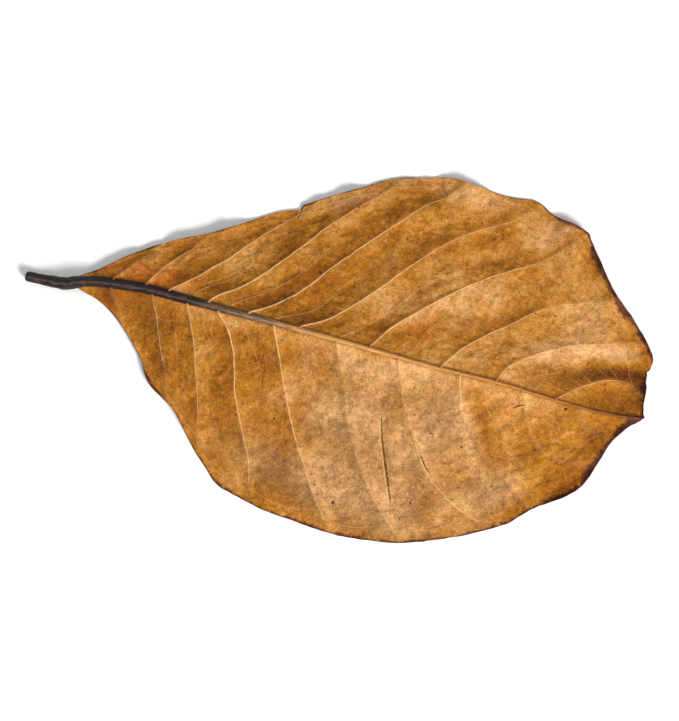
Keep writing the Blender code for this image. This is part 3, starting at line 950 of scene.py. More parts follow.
def midrib_column(stations, number):
    """The same for one column of the midrib: ridged above, with a ridge and two grooves beneath."""
    share = -math.cos(math.pi * number / RIB_COLUMNS)
    round_share = math.sqrt(1 - share * share)
    half = half_midrib(stations)
    y = read_curve(MIDRIB_CURVE, stations) + share * half
    arch = read_curve(ARCH_CURVE, stations)
    fold_depth, fold_end = MIDRIB_FOLDS
    folds = fold_depth * np.clip(1 - stations / fold_end, 0, 1)
    folds = folds * np.cos(3 * math.pi * share + 2 * wobble(stations, 30, 7))
    grain_height, grain_wavelength, grain_seed = MIDRIB_GRAIN
    grain = grain_height * wobble(stations, grain_wavelength, grain_seed + number) * round_share
    rise = 2 * half * MIDRIB_HEIGHT_RATIO * round_share * (1 + folds) + grain
    groove_depth, groove_place, groove_reach = UNDER_GROOVE
    under = UNDER_RIDGE * (1 - share * share) - groove_depth * hump(abs(share) - groove_place, groove_reach)
    tone, warmth = patch_values(stations, y)
    same = np.ones(len(stations))
    return {
        "x": blunt_tip(stations, y),
        "y": y,
        "low": np.maximum(arch - half * under, 0),
        "high": arch + rise,
        "tone": tone,
        "warmth": warmth,
        "margin": FAR_FROM_RIM * same,
        "rim_width": RIM_WIDTH * same,
        "from_rib": 0 * same,
        "panel": 0.5 * same,
        "panel_width": FAR_FROM_RIM * same,
        "rib_side": share * same,
        "crack": 0 * same,
        "crack_open": 0 * same,
    }


def blade_grid():
    """Points of the whole blade as rows by columns, and what its materials read at each."""
    stations = row_stations()
    edge, fine_veins = edge_tree(), cross_vein_tree()
    right, left = (half_grid(side, stations, edge, fine_veins) for side in (-1, 1))
    rib = [midrib_column(stations, number) for number in range(1, RIB_COLUMNS)]
    return {
        name: np.hstack([right[name][:, ::-1], np.array([column[name] for column in rib]).T, left[name]])
        for name in left
    }


def two_triangles(points, corners):
    """A four-cornered face as two triangles that meet on its shorter diagonal."""
    a, b, c, d = corners
    first, second = points[a] - points[c], points[b] - points[d]
    if first @ first <= second @ second:
        return [(a, b, c), (a, c, d)]
    return [(a, b, d), (b, c, d)]


def sheet_faces(points, index):
    """Triangles over a grid of points. They face down, and up where the grid is turned over."""
    faces = []
    for row in range(index.shape[0] - 1):
        for column in range(index.shape[1] - 1):
            first, following = index[row, column : column + 2], index[row + 1, column : column + 2]
            faces += two_triangles(points, (first[0], first[1], following[1], following[0]))
    return faces


def ring_of(index):
    """Numbers of a grid's outer ring, once round."""
    return np.concatenate([index[0, :-1], index[:-1, -1], index[-1, :0:-1], index[:0:-1, 0]])


def rim_faces(upper_ring, rim, lower_ring):
    """Faces of the rounded rim, from the fine upper ring to the coarser lower one."""
    faces = []
    for k in range(len(rim)):
        after = (k + 1) % len(rim)
        faces.append((rim[after], rim[k], upper_ring[k], upper_ring[after]))
    for k in range(len(lower_ring)):
        here, there = lower_ring[k], lower_ring[(k + 1) % len(lower_ring)]
        first, second, third = rim[2 * k], rim[2 * k + 1], rim[(2 * k + 2) % len(rim)]
        faces += [(second, here, first), (there, here, second), (third, there, second)]
    return faces


def add_values(mesh, name, values):
    """Stores a number at each point of a mesh, for its material or tree to read."""
    mesh.attributes.new(name, "FLOAT", "POINT").data.foreach_set("value", np.float32(values))


def blade_mesh(thickness):
    """Closed mesh of the blade: fine upper face, coarser lower face, and a rounded rim between them."""
    grid = blade_grid()
    upper = {name: value[:, 1:-1] for name, value in grid.items()}
    under = {name: value[::2, ::2] for name, value in upper.items()}
    rows, columns = upper["x"].shape
    upper_index = np.arange(rows * columns).reshape(rows, columns)
    upper_ring = ring_of(upper_index)
    rim_row, rim_column = upper_ring // columns, upper_ring % columns + 1
    rim_column[rim_column == 1] = 0
    rim_column[rim_column == columns] = columns + 1
    rim = {name: value[rim_row, rim_column] for name, value in grid.items()}
    points = np.vstack([
        placed(upper["x"], upper["y"], upper["high"] + thickness).reshape(-1, 3),
        placed(rim["x"], rim["y"], rim["low"] + RIM_MIDDLE_HEIGHT * thickness),
        placed(under["x"], under["y"], under["low"]).reshape(-1, 3),
    ])
    rim_start = rows * columns
    under_start = rim_start + len(upper_ring)
    under_index = np.arange(under["x"].size).reshape(under["x"].shape) + under_start
    upper_faces = sheet_faces(points, upper_index.T)
    between_faces = rim_faces(upper_ring, np.arange(rim_start, under_start), ring_of(under_index))
    under_faces = sheet_faces(points, under_index)
    on_midrib = np.zeros(columns - 1, bool)
    on_midrib[HALF_COLUMNS : HALF_COLUMNS + RIB_COLUMNS] = True
    slots = np.concatenate([
        np.repeat(np.where(on_midrib, MIDRIB_SLOT, UNDERSIDE_SLOT), 2 * (rows - 1)),
        np.full(len(between_faces), UNDERSIDE_SLOT),
        np.full(len(under_faces), UPPER_SIDE_SLOT),
    ])
    mesh = bpy.data.meshes.new("leaf_blade")
    faces = upper_faces + between_faces + under_faces
    mesh.from_pydata(points.tolist(), [], [[int(number) for number in face] for face in faces])
    mesh.polygons.foreach_set("material_index", slots)
    for name in SURFACE_VALUES:
        add_values(mesh, name, np.concatenate([upper[name].ravel(), rim[name], under[name].ravel()]))
    mesh.shade_smooth()
    return mesh


def stalk_rings(along, angle):
    """Rings of the stalk round its middle line, in the drawing, with their end rounded."""
    centres = np.stack([along, read_curve(MIDRIB_CURVE, along), read_curve(STALK_CURVE, along, 1)], -1)
    forward = np.gradient(centres, axis=0)
    forward /= np.linalg.norm(forward, axis=1)[:, None]
    aside = np.cross([0, 0, 1], forward)
    aside /= np.linalg.norm(aside, axis=1)[:, None]
    up = np.cross(forward, aside)
    turn, place = np.meshgrid(angle, along)
    shrivelled = np.clip((place + 12.2) / 2.5, 0.2, 1) * rising(16 - place, 8)
    ridges = 0.05 * np.cos(6 * turn + 0.7 * wobble(place, 9, 3))
    ridges = ridges + 0.035 * np.cos(11 * turn + wobble(place, 6, 4))
    lumps = 0.05 * field(place, 3 * np.sin(turn) + 9, 1.6, 5)
    lumps = lumps + 0.04 * field(place * 2, 4 * np.cos(turn) + 9, 2.4, 6)
    rounding, rounding_reach = STALK_END_ROUNDING
    rounded = 1 - rounding * hump(place - STALK[0][0], rounding_reach)
    radius = read_curve(STALK_CURVE, place, 2) * (1 + shrivelled * (ridges + lumps)) * rounded
    for gland_place, gland_turn in GLANDS:
        gland = hump(place - gland_place, GLAND_REACH) * hump(turn - gland_turn, GLAND_TURN_REACH)
        radius = radius + GLAND_HEIGHT * gland
    outward = aside[:, None] * np.cos(turn)[..., None] + up[:, None] * np.sin(turn)[..., None]
    rings = centres[:, None] + outward * radius[..., None]
    rings[..., 2] = np.maximum(rings[..., 2], 0)
    return rings, centres[0], forward[0]


def scar_rings(first_ring, centre, forward, angle):
    """Rings of the sunken scar that closes the stalk's end."""
    rings = []
    for share, depth in SCAR_RINGS:
        unevenness = SCAR_UNEVENNESS * np.sin(5 * angle + 9 * share) * (share < SCAR_EVEN_FROM)
        rings.append(centre + (first_ring - centre) * (share * (1 + unevenness))[:, None] + forward * depth)
    return np.array(rings)


def stalk_mesh():
    """Closed tube of the stalk: a scar at its end, shrivelled ridges along it and glands at the blade."""
    along = np.concatenate([STALK_END_ROWS, *(np.linspace(*rows) for rows in STALK_ROWS)])
    angle = np.linspace(0, 2 * math.pi, STALK_SIDES, endpoint=False)
    rings, centre, forward = stalk_rings(along, angle)
    rings = np.concatenate([scar_rings(rings[0], centre, forward, angle), rings])
    index = np.arange(len(rings) * STALK_SIDES).reshape(len(rings), STALK_SIDES)
    faces = [index[0, ::-1].tolist(), index[-1].tolist()]
    for ring, following in zip(index, index[1:]):
        for k in range(STALK_SIDES):
            after = (k + 1) % STALK_SIDES
            faces.append([int(number) for number in (ring[k], ring[after], following[after], following[k])])
    mesh = bpy.data.meshes.new("leaf_stalk")
    mesh.from_pydata(placed(*np.moveaxis(rings, -1, 0)).reshape(-1, 3).tolist(), [], faces)
    add_values(mesh, "rib_side", np.tile(np.cos(angle), len(rings)))
    mesh.shade_smooth()
    return mesh


def upper_point(side, station, across, thickness):
    """Points on the upper face."""
    station, across = np.broadcast_arrays(np.asarray(station, float), np.asarray(across, float))
    x, y = plan(side, station, across)
    low = lower_height(side, station, across, x, y)
    return x, y, low + upper_relief(side, station, across, np.zeros(x.shape)) + thickness


def uneven(settings, distance, origin):
    """Unevenness along a side vein, different for each."""
    size, wavelength, seed = settings
    return size * wobble(distance, wavelength, int(origin * seed))


def side_vein_line(side, origin, strength, paleness, thickness):
    """Line of one side vein on the upper face, from inside the midrib to where it fades out near the edge."""
    length = float(run_length(side, origin))
    across = np.linspace(0, VEIN_FADE_PLACE, max(12, int(length / VEIN_POINT_STEP)))
    share = across / VEIN_FADE_PLACE
    from_foot = across * length
    width = np.interp(share, (0, 1), SIDE_VEIN_HALF_WIDTH) * strength
    width = width * (1 + uneven(VEIN_WIDTH_WOBBLE, from_foot, origin))
    thinned = 0.8 - 0.5 * paleness[2]
    width = width * (1 - thinned * rising(share - VEIN_TAPER_START, 1 - VEIN_TAPER_START) ** 2)
    width = width + VEIN_ROOT_SWELLING[0] * strength * fading(from_foot, VEIN_ROOT_SWELLING[1])
    astray = uneven(VEIN_STRAY, from_foot, origin) * rising(from_foot, 3)
    x, y, z = upper_point(side, origin + astray, across, thickness)
    y[0] -= side * VEIN_ROOT_INSIDE
    z[0] -= VEIN_ROOT_SUNK
    pale = np.interp(share, (0, 0.5, 1), paleness) + uneven(VEIN_PALENESS_WOBBLE, from_foot, origin)
    pale = pale - VEIN_ROOT_DARKENING[0] * hump(from_foot, VEIN_ROOT_DARKENING[1])
    return x, y, z, width, np.clip(1 - pale, 0, 1)


def side_vein_lines(thickness):
    lines = []
    for side in VEINS:
        for origin, (strength, paleness) in zip(VEIN_STATIONS[side][1:-1], VEIN_LOOKS[side]):
            lines.append(side_vein_line(side, origin, strength, paleness, thickness))
    return lines


def cross_vein_lines(thickness):
    """Lines of the finer veins on the upper face."""
    lines = []
    for side, stations, across, width in CROSS_VEINS:
        x, y, z = upper_point(side, stations, across, thickness)
        lines.append((x, y, z, width, np.full(len(x), 0.5)))
    return lines


def line_object(name, lines):
    """Object of bare edges along the lines, with the width and colour of each point, for a tree to sweep."""
    points, edges = [], []
    for x, y, z, _, _ in lines:
        start = len(points)
        points += placed(x, y, z).tolist()
        edges += [(start + k, start + k + 1) for k in range(len(x) - 1)]
    mesh = bpy.data.meshes.new(name)
    mesh.from_pydata(points, edges, [])
    x, y, _, half_width, fade = (np.concatenate(parts) for parts in zip(*lines))
    tone, warmth = patch_values(x, y)
    add_values(mesh, "half_width", half_width * MM)
    add_values(mesh, "fade", fade)
    add_values(mesh, "tone", tone)
    add_values(mesh, "warmth", warmth)
    return new_object(name, mesh)


def place_finder():
    """Function that finds side, station and place across for a point of the drawing."""
    grids = {}
    for side in (-1, 1):
        station, across = np.meshgrid(np.linspace(5, 187, 500), np.linspace(0, 1, 200))
        grids[side] = (station, across, *plan(side, station, across))

    def find(x, y):
        best = None
        for side, (station, across, grid_x, grid_y) in grids.items():
            gap = (grid_x - x) ** 2 + (grid_y - y) ** 2
            k = np.unravel_index(gap.argmin(), gap.shape)
            if best is None or gap[k] < best[0]:
                best = (gap[k], side, station[k], across[k])
        return best[1:]

    return find


def speck_object(name, thickness):
    """Object of bare points where the specks lie, with the size of each."""
    rng = np.random.default_rng(SPECK_SEED)
    wanted = list(SPECKS)
    for _ in range(STREWN_SPECKS):
        side = int(rng.choice([-1, 1]))
        station, across = rng.uniform(*STREWN_STATIONS), rng.uniform(*STREWN_ACROSS)
        x, y = plan(side, station, across)
        wanted.append((float(x), float(y), rng.uniform(*STREWN_RADII)))
    places, sizes = [], []
    find = place_finder()
    for x, y, radius in wanted:
        side, station, across = find(x, y)
        found_x, found_y, z = upper_point(side, [station], [across], thickness)
        places += placed(found_x, found_y, z - SPECK_SUNK).tolist()
        sizes.append(radius * MM)
    mesh = bpy.data.meshes.new(name)
    mesh.from_pydata(places, [], [])
    add_values(mesh, "radius_of_speck", sizes)
    return new_object(name, mesh)


def new_object(name, mesh):
    made = bpy.data.objects.new(name, mesh)
    bpy.context.scene.collection.objects.link(made)
    return made


def node(tree, kind, inputs=None, **settings):
    """Adds a node. Inputs are given by name or number, as a value or as a socket to link."""
    made = tree.nodes.new(kind)
    for name, value in settings.items():
        setattr(made, name, value)
    for key, value in (inputs or {}).items():
        if isinstance(value, bpy.types.NodeSocket):
            tree.links.new(value, made.inputs[key])
        elif made.inputs[key].type == "RGBA":
            made.inputs[key].default_value = (*value[:3], 1)
        else:
            made.inputs[key].default_value = value
    return made


def math_node(tree, operation, *values, clamp=False):
    inputs = dict(enumerate(values))
    return node(tree, "ShaderNodeMath", inputs, operation=operation, use_clamp=clamp).outputs[0]


def plus(tree, first, second):
    return math_node(tree, "ADD", first, second)


def times(tree, first, second):
    return math_node(tree, "MULTIPLY", first, second)


def added(tree, total, value, weight):
    """The total with a weighted value added to it."""
    return math_node(tree, "MULTIPLY_ADD", value, weight, total)


def mixed(tree, factor, first, second, blend_type="MIX"):
    """Colour between two, by a factor."""
    inputs = {0: factor, 6: first, 7: second}
    return node(tree, "ShaderNodeMix", inputs, data_type="RGBA", blend_type=blend_type).outputs[2]


def tinted(tree, colour, tint):
    """Colour multiplied by another, or by a number."""
    return mixed(tree, 1.0, colour, tint, "MULTIPLY")


def remapped(tree, value, low, high, to_low=0.0, to_high=1.0):
    """The value stretched from one range to another, eased at both ends and held there."""
    inputs = {0: value, 1: low, 2: high, 3: to_low, 4: to_high}
    return node(tree, "ShaderNodeMapRange", inputs, interpolation_type="SMOOTHSTEP").outputs[0]


def noise_node(tree, vector, scale, detail=2.0, roughness=0.5, distortion=0.0):
    return node(tree, "ShaderNodeTexNoise", {
        "Vector": vector, "Scale": scale, "Detail": detail, "Roughness": roughness, "Distortion": distortion,
    }).outputs[0]


def cell_node(tree, vector, scale, feature):
    """Outputs of a flat texture of random cells."""
    inputs = {"Vector": vector, "Scale": scale}
    return node(tree, "ShaderNodeTexVoronoi", inputs, feature=feature, voronoi_dimensions="2D").outputs


def ramp_node(tree, value, stops):
    """Colour ramp through (place, colour) stops."""
    made = node(tree, "ShaderNodeValToRGB", {0: value})
    elements = made.color_ramp.elements
    while len(elements) < len(stops):
        elements.new(0.5)
    for element, (place, colour) in zip(elements, stops):
        element.position = place
        element.color = (*colour[:3], 1)
    return made.outputs[0]


def attribute_node(tree, name):
    return node(tree, "ShaderNodeAttribute", attribute_name=name).outputs["Fac"]


def millimetres(tree, stretch=(1, 1, 1)):
    """Object coordinates in millimetres, stretched along the axes."""
    coordinates = node(tree, "ShaderNodeTexCoord").outputs["Object"]
    scale = [share / MM for share in stretch]
    return node(tree, "ShaderNodeVectorMath", {0: coordinates, 1: scale}, operation="MULTIPLY").outputs[0]


def built_once(library, name):
    """Makes a function build its node group or material only once, and give the same one after that."""
    def decorate(build):
        @functools.wraps(build)
        def get():
            return getattr(bpy.data, library).get(name) or build(name)
        return get
    return decorate


def new_group(name, inputs, outputs):
    """Shader node group with these sockets; returns its tree and its input and output nodes."""
    tree = bpy.data.node_groups.new(name, "ShaderNodeTree")
    for label, default in inputs:
        socket = tree.interface.new_socket(label, in_out="INPUT", socket_type="NodeSocketFloat")
        socket.default_value = default
    for label, kind in outputs:
        tree.interface.new_socket(label, in_out="OUTPUT", socket_type=kind)
    return tree, tree.nodes.new("NodeGroupInput"), tree.nodes.new("NodeGroupOutput")


def group_outputs(tree, group, inputs):
    """Outputs of a node group placed in this tree with its own values."""
    return node(tree, "ShaderNodeGroup", inputs, node_tree=group).outputs


@built_once("node_groups", "mottled_tissue")
def tissue_group(name):
    """Colour of dried tissue: mottling in four sizes, with thin lines of painted shade along fine wrinkles,
    lighter or darker by tone and redder by warmth.
    """
    colours = bpy.context.scene.almond_leaf_colours
    tree, entry, result = new_group(
        name, [("Tone", 0.0), ("Warmth", 0.0)], [("Color", "NodeSocketColor"), ("Mottle", "NodeSocketFloat")]
    )
    place = millimetres(tree)
    broad = noise_node(tree, place, 0.055, 3, 0.55, 0.6)
    middling = noise_node(tree, place, 0.17, 4, 0.6, 0.8)
    small = noise_node(tree, place, 0.55, 8, 0.64, 0.7)
    grain = noise_node(tree, place, 2.6, 3, 0.7)
    level = 0.5
    for value, weight in ((broad, 0.75), (middling, 0.46), (small, 0.64), (grain, 0.26)):
        level = added(tree, level, math_node(tree, "SUBTRACT", value, 0.5), weight)
    # Thin dark lines along fine wrinkles: painted shade in their creases
    for scale, weight in ((0.34, -0.12), (0.8, -0.09)):
        wrinkle_shade_line = noise_node(tree, place, scale, 3, 0.55, 1.1)
        wrinkle_shade_line = math_node(tree, "ABSOLUTE", math_node(tree, "SUBTRACT", wrinkle_shade_line, 0.5))
        level = plus(tree, level, remapped(tree, wrinkle_shade_line, 0.0, 0.045, weight, -weight * 0.25))
    toned = times(tree, entry.outputs["Tone"], remapped(tree, middling, 0.25, 0.75, 0.7, 1.3))
    level = math_node(tree, "ADD", level, toned, clamp=True)
    colour = ramp_node(tree, level, [
        (0.0, colours.darkest), (0.26, colours.brown), (0.48, colours.ochre), (0.7, colours.tan),
        (1.0, colours.pale),
    ])
    drift = noise_node(tree, place, 0.045, 2, 0.5, 0.5)
    warmth = plus(tree, entry.outputs["Warmth"], remapped(tree, drift, 0.3, 0.7, -0.2, 0.14))
    pink = tinted(tree, colours.pink, remapped(tree, level, 0.2, 0.9, 0.45, 1.35))
    colour = mixed(tree, remapped(tree, warmth, 0.0, 0.8, 0.0, 0.85), colour, pink)
    orange = tinted(tree, colour, colours.orange)
    colour = mixed(tree, remapped(tree, warmth, -0.05, -0.8, 0.0, 0.9), colour, orange)
    yellow = remapped(tree, noise_node(tree, place, 0.11, 4, 0.6, 0.8), 0.32, 0.68)
    colour = tinted(tree, colour, mixed(tree, yellow, PINK_TINT, YELLOW_TINT))
    tree.links.new(colour, result.inputs["Color"])
    tree.links.new(level, result.inputs["Mottle"])
    return tree


def toned_tissue(tree):
    """Outputs of the mottled tissue at the tone and warmth that the mesh holds."""
    values = {"Tone": attribute_node(tree, "tone"), "Warmth": attribute_node(tree, "warmth")}
    return group_outputs(tree, tissue_group(), values)


@built_once("node_groups", "veinlet_net")
def net_group(name):
    """Fine net of veinlets round small cells, in two sizes: 1 on its lines."""
    tree, entry, result = new_group(
        name, [("Cells per mm", 0.8)], [("Net", "NodeSocketFloat"), ("Cell", "NodeSocketFloat")]
    )
    place = millimetres(tree)
    shift = node(tree, "ShaderNodeTexNoise", {"Vector": place, "Scale": 0.5, "Detail": 2.0}).outputs["Color"]
    inputs = {0: shift, 1: (1.3, 1.3, 1.3), 2: place}
    place = node(tree, "ShaderNodeVectorMath", inputs, operation="MULTIPLY_ADD").outputs[0]
    lines = []
    for share, low, high in ((1.0, 0.02, 0.13), (0.33, 0.01, 0.07)):
        scale = times(tree, entry.outputs[0], share)
        border = cell_node(tree, place, scale, "DISTANCE_TO_EDGE")
        lines.append(remapped(tree, border["Distance"], low, high, 1.0, 0.0))
    net = math_node(tree, "MAXIMUM", times(tree, lines[0], 0.6), lines[1])
    cell = cell_node(tree, place, entry.outputs[0], "F1")["Color"]
    tree.links.new(net, result.inputs["Net"])
    tree.links.new(cell, result.inputs["Cell"])
    return tree


@built_once("node_groups", "cross_grain")
def cross_grain_group(name):
    """Fine streaks that run across from one side vein to the next, from the blade's own attributes."""
    tree, entry, result = new_group(name, [("Streaks per mm", 0.7)], [("Streak", "NodeSocketFloat")])
    panel = attribute_node(tree, "panel")
    whole = math_node(tree, "FLOOR", panel)
    aside = times(tree, math_node(tree, "SUBTRACT", panel, whole), attribute_node(tree, "panel_width"))
    along = added(tree, attribute_node(tree, "from_rib"), aside, 0.25)
    drawn_in, own_place = times(tree, aside, 0.35), times(tree, whole, 17.3)
    place = node(tree, "ShaderNodeCombineXYZ", {0: along, 1: drawn_in, 2: own_place})
    streak = noise_node(tree, place.outputs[0], entry.outputs[0], 4, 0.62, 0.25)
    tree.links.new(streak, result.inputs[0])
    return tree


@built_once("node_groups", "side_vein_lines")
def vein_line_group(name):
    """1 along the side veins, falling to 0 at this distance in mm, from the blade's own attributes."""
    tree, entry, result = new_group(name, [("Width", 1.0)], [("Line", "NodeSocketFloat")])
    panel = attribute_node(tree, "panel")
    gap = math_node(tree, "ABSOLUTE", math_node(tree, "SUBTRACT", panel, math_node(tree, "ROUND", panel)))
    gap = times(tree, gap, attribute_node(tree, "panel_width"))
    share = math_node(tree, "DIVIDE", gap, entry.outputs[0])
    tree.links.new(remapped(tree, share, 0.0, 1.0, 1.0, 0.0), result.inputs[0])
    return tree


@built_once("node_groups", "long_fibres")
def fibre_group(name):
    """Long fine fibres along the leaf, for the midrib, stalk and veins."""
    tree, entry, result = new_group(
        name, [("Fineness", 1.0)], [("Fibre", "NodeSocketFloat"), ("Blotch", "NodeSocketFloat")]
    )
    scale = times(tree, entry.outputs[0], 2.2)
    fibre = noise_node(tree, millimetres(tree, (0.12, 1.6, 1.6)), scale, 4, 0.6, 0.2)
    blotch = noise_node(tree, millimetres(tree, (0.5, 1, 1)), 0.45, 4, 0.6, 0.4)
    tree.links.new(fibre, result.inputs["Fibre"])
    tree.links.new(blotch, result.inputs["Blotch"])
    return tree


def new_material(name):
    """Material with an empty tree but for its shader; returns the material, tree and shader."""
    material = bpy.data.materials.new(name)
    material.use_nodes = True
    tree = material.node_tree
    shader = tree.nodes["Principled BSDF"]
    return material, tree, shader


def finish_material(tree, shader, colour, roughness, specular, height, distance, strength=0.9):
    """Gives the shader its colour, roughness and gloss, and a bump of this height and distance in metres."""
    tree.links.new(colour, shader.inputs["Base Color"])
    tree.links.new(roughness, shader.inputs["Roughness"])
    shader.inputs["Specular IOR Level"].default_value = specular
    bump = node(tree, "ShaderNodeBump", {"Height": height, "Distance": distance, "Strength": strength})
    tree.links.new(bump.outputs[0], shader.inputs["Normal"])


def dot_mask(tree, place):
    """1 on small round dots of many sizes, which lie in loose clusters."""
    dots = cell_node(tree, place, 0.55, "F1")
    own_size = node(tree, "ShaderNodeSeparateXYZ", {0: dots["Color"]}).outputs[0]
    reach = times(tree, math_node(tree, "POWER", own_size, 3.0), 0.2)
    gap = math_node(tree, "SUBTRACT", dots["Distance"], reach)
    dot = remapped(tree, gap, -0.03, 0.03, 0.65, 0.0)
    return times(tree, dot, remapped(tree, noise_node(tree, place, 0.09, 2, 0.5), 0.48, 0.62))


def crack_masks(tree, place):
    """1 on the pale lip beside each crack, and 1 in the open crack, with a ragged edge."""
    ragged = remapped(tree, noise_node(tree, place, 1.1, 4, 0.7), 0.25, 0.75, -0.4, 0.4)
    crack = plus(tree, attribute_node(tree, "crack"), ragged)
    openness = attribute_node(tree, "crack_open")
    from_middle = math_node(tree, "DIVIDE", math_node(tree, "ABSOLUTE", crack), plus(tree, openness, 0.05))
    gaping = remapped(tree, from_middle, 0.5, 1.1, 0.82, 0.0)
    from_lip = math_node(tree, "ABSOLUTE", plus(tree, crack, 1.9))
    lip = times(tree, remapped(tree, from_lip, 0.3, 1.2, 0.45, 0.0), openness)
    return lip, times(tree, gaping, remapped(tree, openness, 0.05, 0.4))


def rim_mask(tree, place):
    """1 along the dark rim, whose width wanders."""
    wander = remapped(tree, noise_node(tree, place, 0.2, 4, 0.7), 0.3, 0.7, 0.4, 1.7)
    wander = times(tree, wander, attribute_node(tree, "rim_width"))
    share = math_node(tree, "DIVIDE", attribute_node(tree, "margin"), wander)
    return remapped(tree, share, 0.45, 1.15, 0.95, 0.0)


def painted_foot_shade_mask(tree):
    """1 along the foot of the midrib, where it is darkened as painted shade, more on its upper side in the
    drawing.
    """
    foot = remapped(tree, attribute_node(tree, "from_rib"), 0.0, 1.0, 1.0, 0.0)
    return times(tree, foot, remapped(tree, attribute_node(tree, "rib_side"), -1.0, 1.0, 0.2, 0.75))


def underside_material():
    """Matt mottled tan tissue with a fine net, pale along the veins, dark at the rim, and painted shade along
    the midrib's foot.
    """
    material, tree, shader = new_material("dried_underside")
    colours = bpy.context.scene.almond_leaf_colours
    place = millimetres(tree)
    tissue = toned_tissue(tree)
    net = group_outputs(tree, net_group(), {"Cells per mm": 0.85})
    streak = group_outputs(tree, cross_grain_group(), {"Streaks per mm": 0.75})[0]
    vein_line = group_outputs(tree, vein_line_group(), {"Width": 1.5})[0]
    lip, open_crack = crack_masks(tree, place)
    colour = mixed(tree, times(tree, net["Net"], 0.07), tissue["Color"], colours.vein)
    colour = tinted(tree, colour, remapped(tree, net["Cell"], 0.0, 1.0, 0.88, 1.1))
    colour = mixed(tree, times(tree, vein_line, 0.1), colour, colours.vein)
    colour = tinted(tree, colour, remapped(tree, streak, 0.3, 0.7, 0.92, 1.07))
    colour = mixed(tree, dot_mask(tree, place), colour, colours.speck)
    colour = mixed(tree, lip, colour, colours.vein)
    colour = mixed(tree, open_crack, colour, colours.speck)
    rim_colour = tinted(tree, colours.rim, remapped(tree, tissue["Mottle"], 0.2, 0.8, 0.45, 2.0))
    colour = mixed(tree, rim_mask(tree, place), colour, rim_colour)
    # Painted shade along the midrib's foot, in the dark rim colour
    colour = mixed(tree, painted_foot_shade_mask(tree), colour, colours.rim)
    height = noise_node(tree, place, 0.9, 6, 0.66, 0.6)
    for value, weight in ((net["Net"], 0.22), (streak, 0.35), (tissue["Mottle"], 0.5), (open_crack, -0.9)):
        height = added(tree, height, value, weight)
    roughness = remapped(tree, tissue["Mottle"], 0.1, 0.9, 0.58, 0.74)
    finish_material(tree, shader, colour, roughness, 0.07, height, 0.00045)
    return material


def upper_side_material():
    """Smooth, glossy red-brown tissue with sunken dark vein lines, seen from beneath."""
    material, tree, shader = new_material("glossy_upper_side")
    colours = bpy.context.scene.almond_leaf_colours
    place = millimetres(tree)
    small = math_node(tree, "SUBTRACT", noise_node(tree, place, 0.5, 4, 0.6, 0.3), 0.5)
    level = added(tree, noise_node(tree, place, 0.05, 4, 0.6, 0.6), small, 0.45)
    colour = ramp_node(tree, level, [
        (0.25, colours.upper_dark), (0.5, colours.upper_middle), (0.72, colours.upper_light),
    ])
    net = group_outputs(tree, net_group(), {"Cells per mm": 0.6})["Net"]
    colour = mixed(tree, times(tree, net, 0.25), colour, colours.upper_dark)
    line = group_outputs(tree, vein_line_group(), {"Width": 0.55})[0]
    colour = mixed(tree, times(tree, line, 0.8), colour, colours.upper_vein)
    side = math_node(tree, "ABSOLUTE", attribute_node(tree, "rib_side"))
    patchy = noise_node(tree, millimetres(tree, (0.3, 1.5, 1.5)), 1.2, 4, 0.65)
    worn = remapped(tree, patchy, 0.3, 0.7, 0.35, 1.0)
    crest = times(tree, remapped(tree, side, 0.35, 0.65, 0.85, 0.0), worn)
    beside_midrib = remapped(tree, attribute_node(tree, "from_rib"), 0.0, 0.9, 0.85, 0.0)
    groove = times(tree, remapped(tree, side, 0.5, 0.75, 0.0, 1.0), beside_midrib)
    colour = mixed(tree, groove, colour, colours.upper_vein)
    colour = mixed(tree, crest, colour, colours.upper_light)
    rim = remapped(tree, attribute_node(tree, "margin"), 0.2, 3.0, 0.75, 0.0)
    colour = mixed(tree, rim, colour, colours.upper_vein)
    streaks = noise_node(tree, millimetres(tree, (0.25, 1.0, 1.0)), 0.6, 4, 0.65, 0.6)
    roughness = remapped(tree, streaks, 0.3, 0.7, 0.2, 0.55)
    grain = group_outputs(tree, cross_grain_group(), {"Streaks per mm": 1.1})[0]
    height = noise_node(tree, place, 1.4, 3, 0.6)
    for value, weight in ((line, -1.6), (groove, -1.6), (net, -0.5), (grain, 1.6)):
        height = added(tree, height, value, weight)
    finish_material(tree, shader, colour, roughness, 0.5, height, 0.00022)
    return material


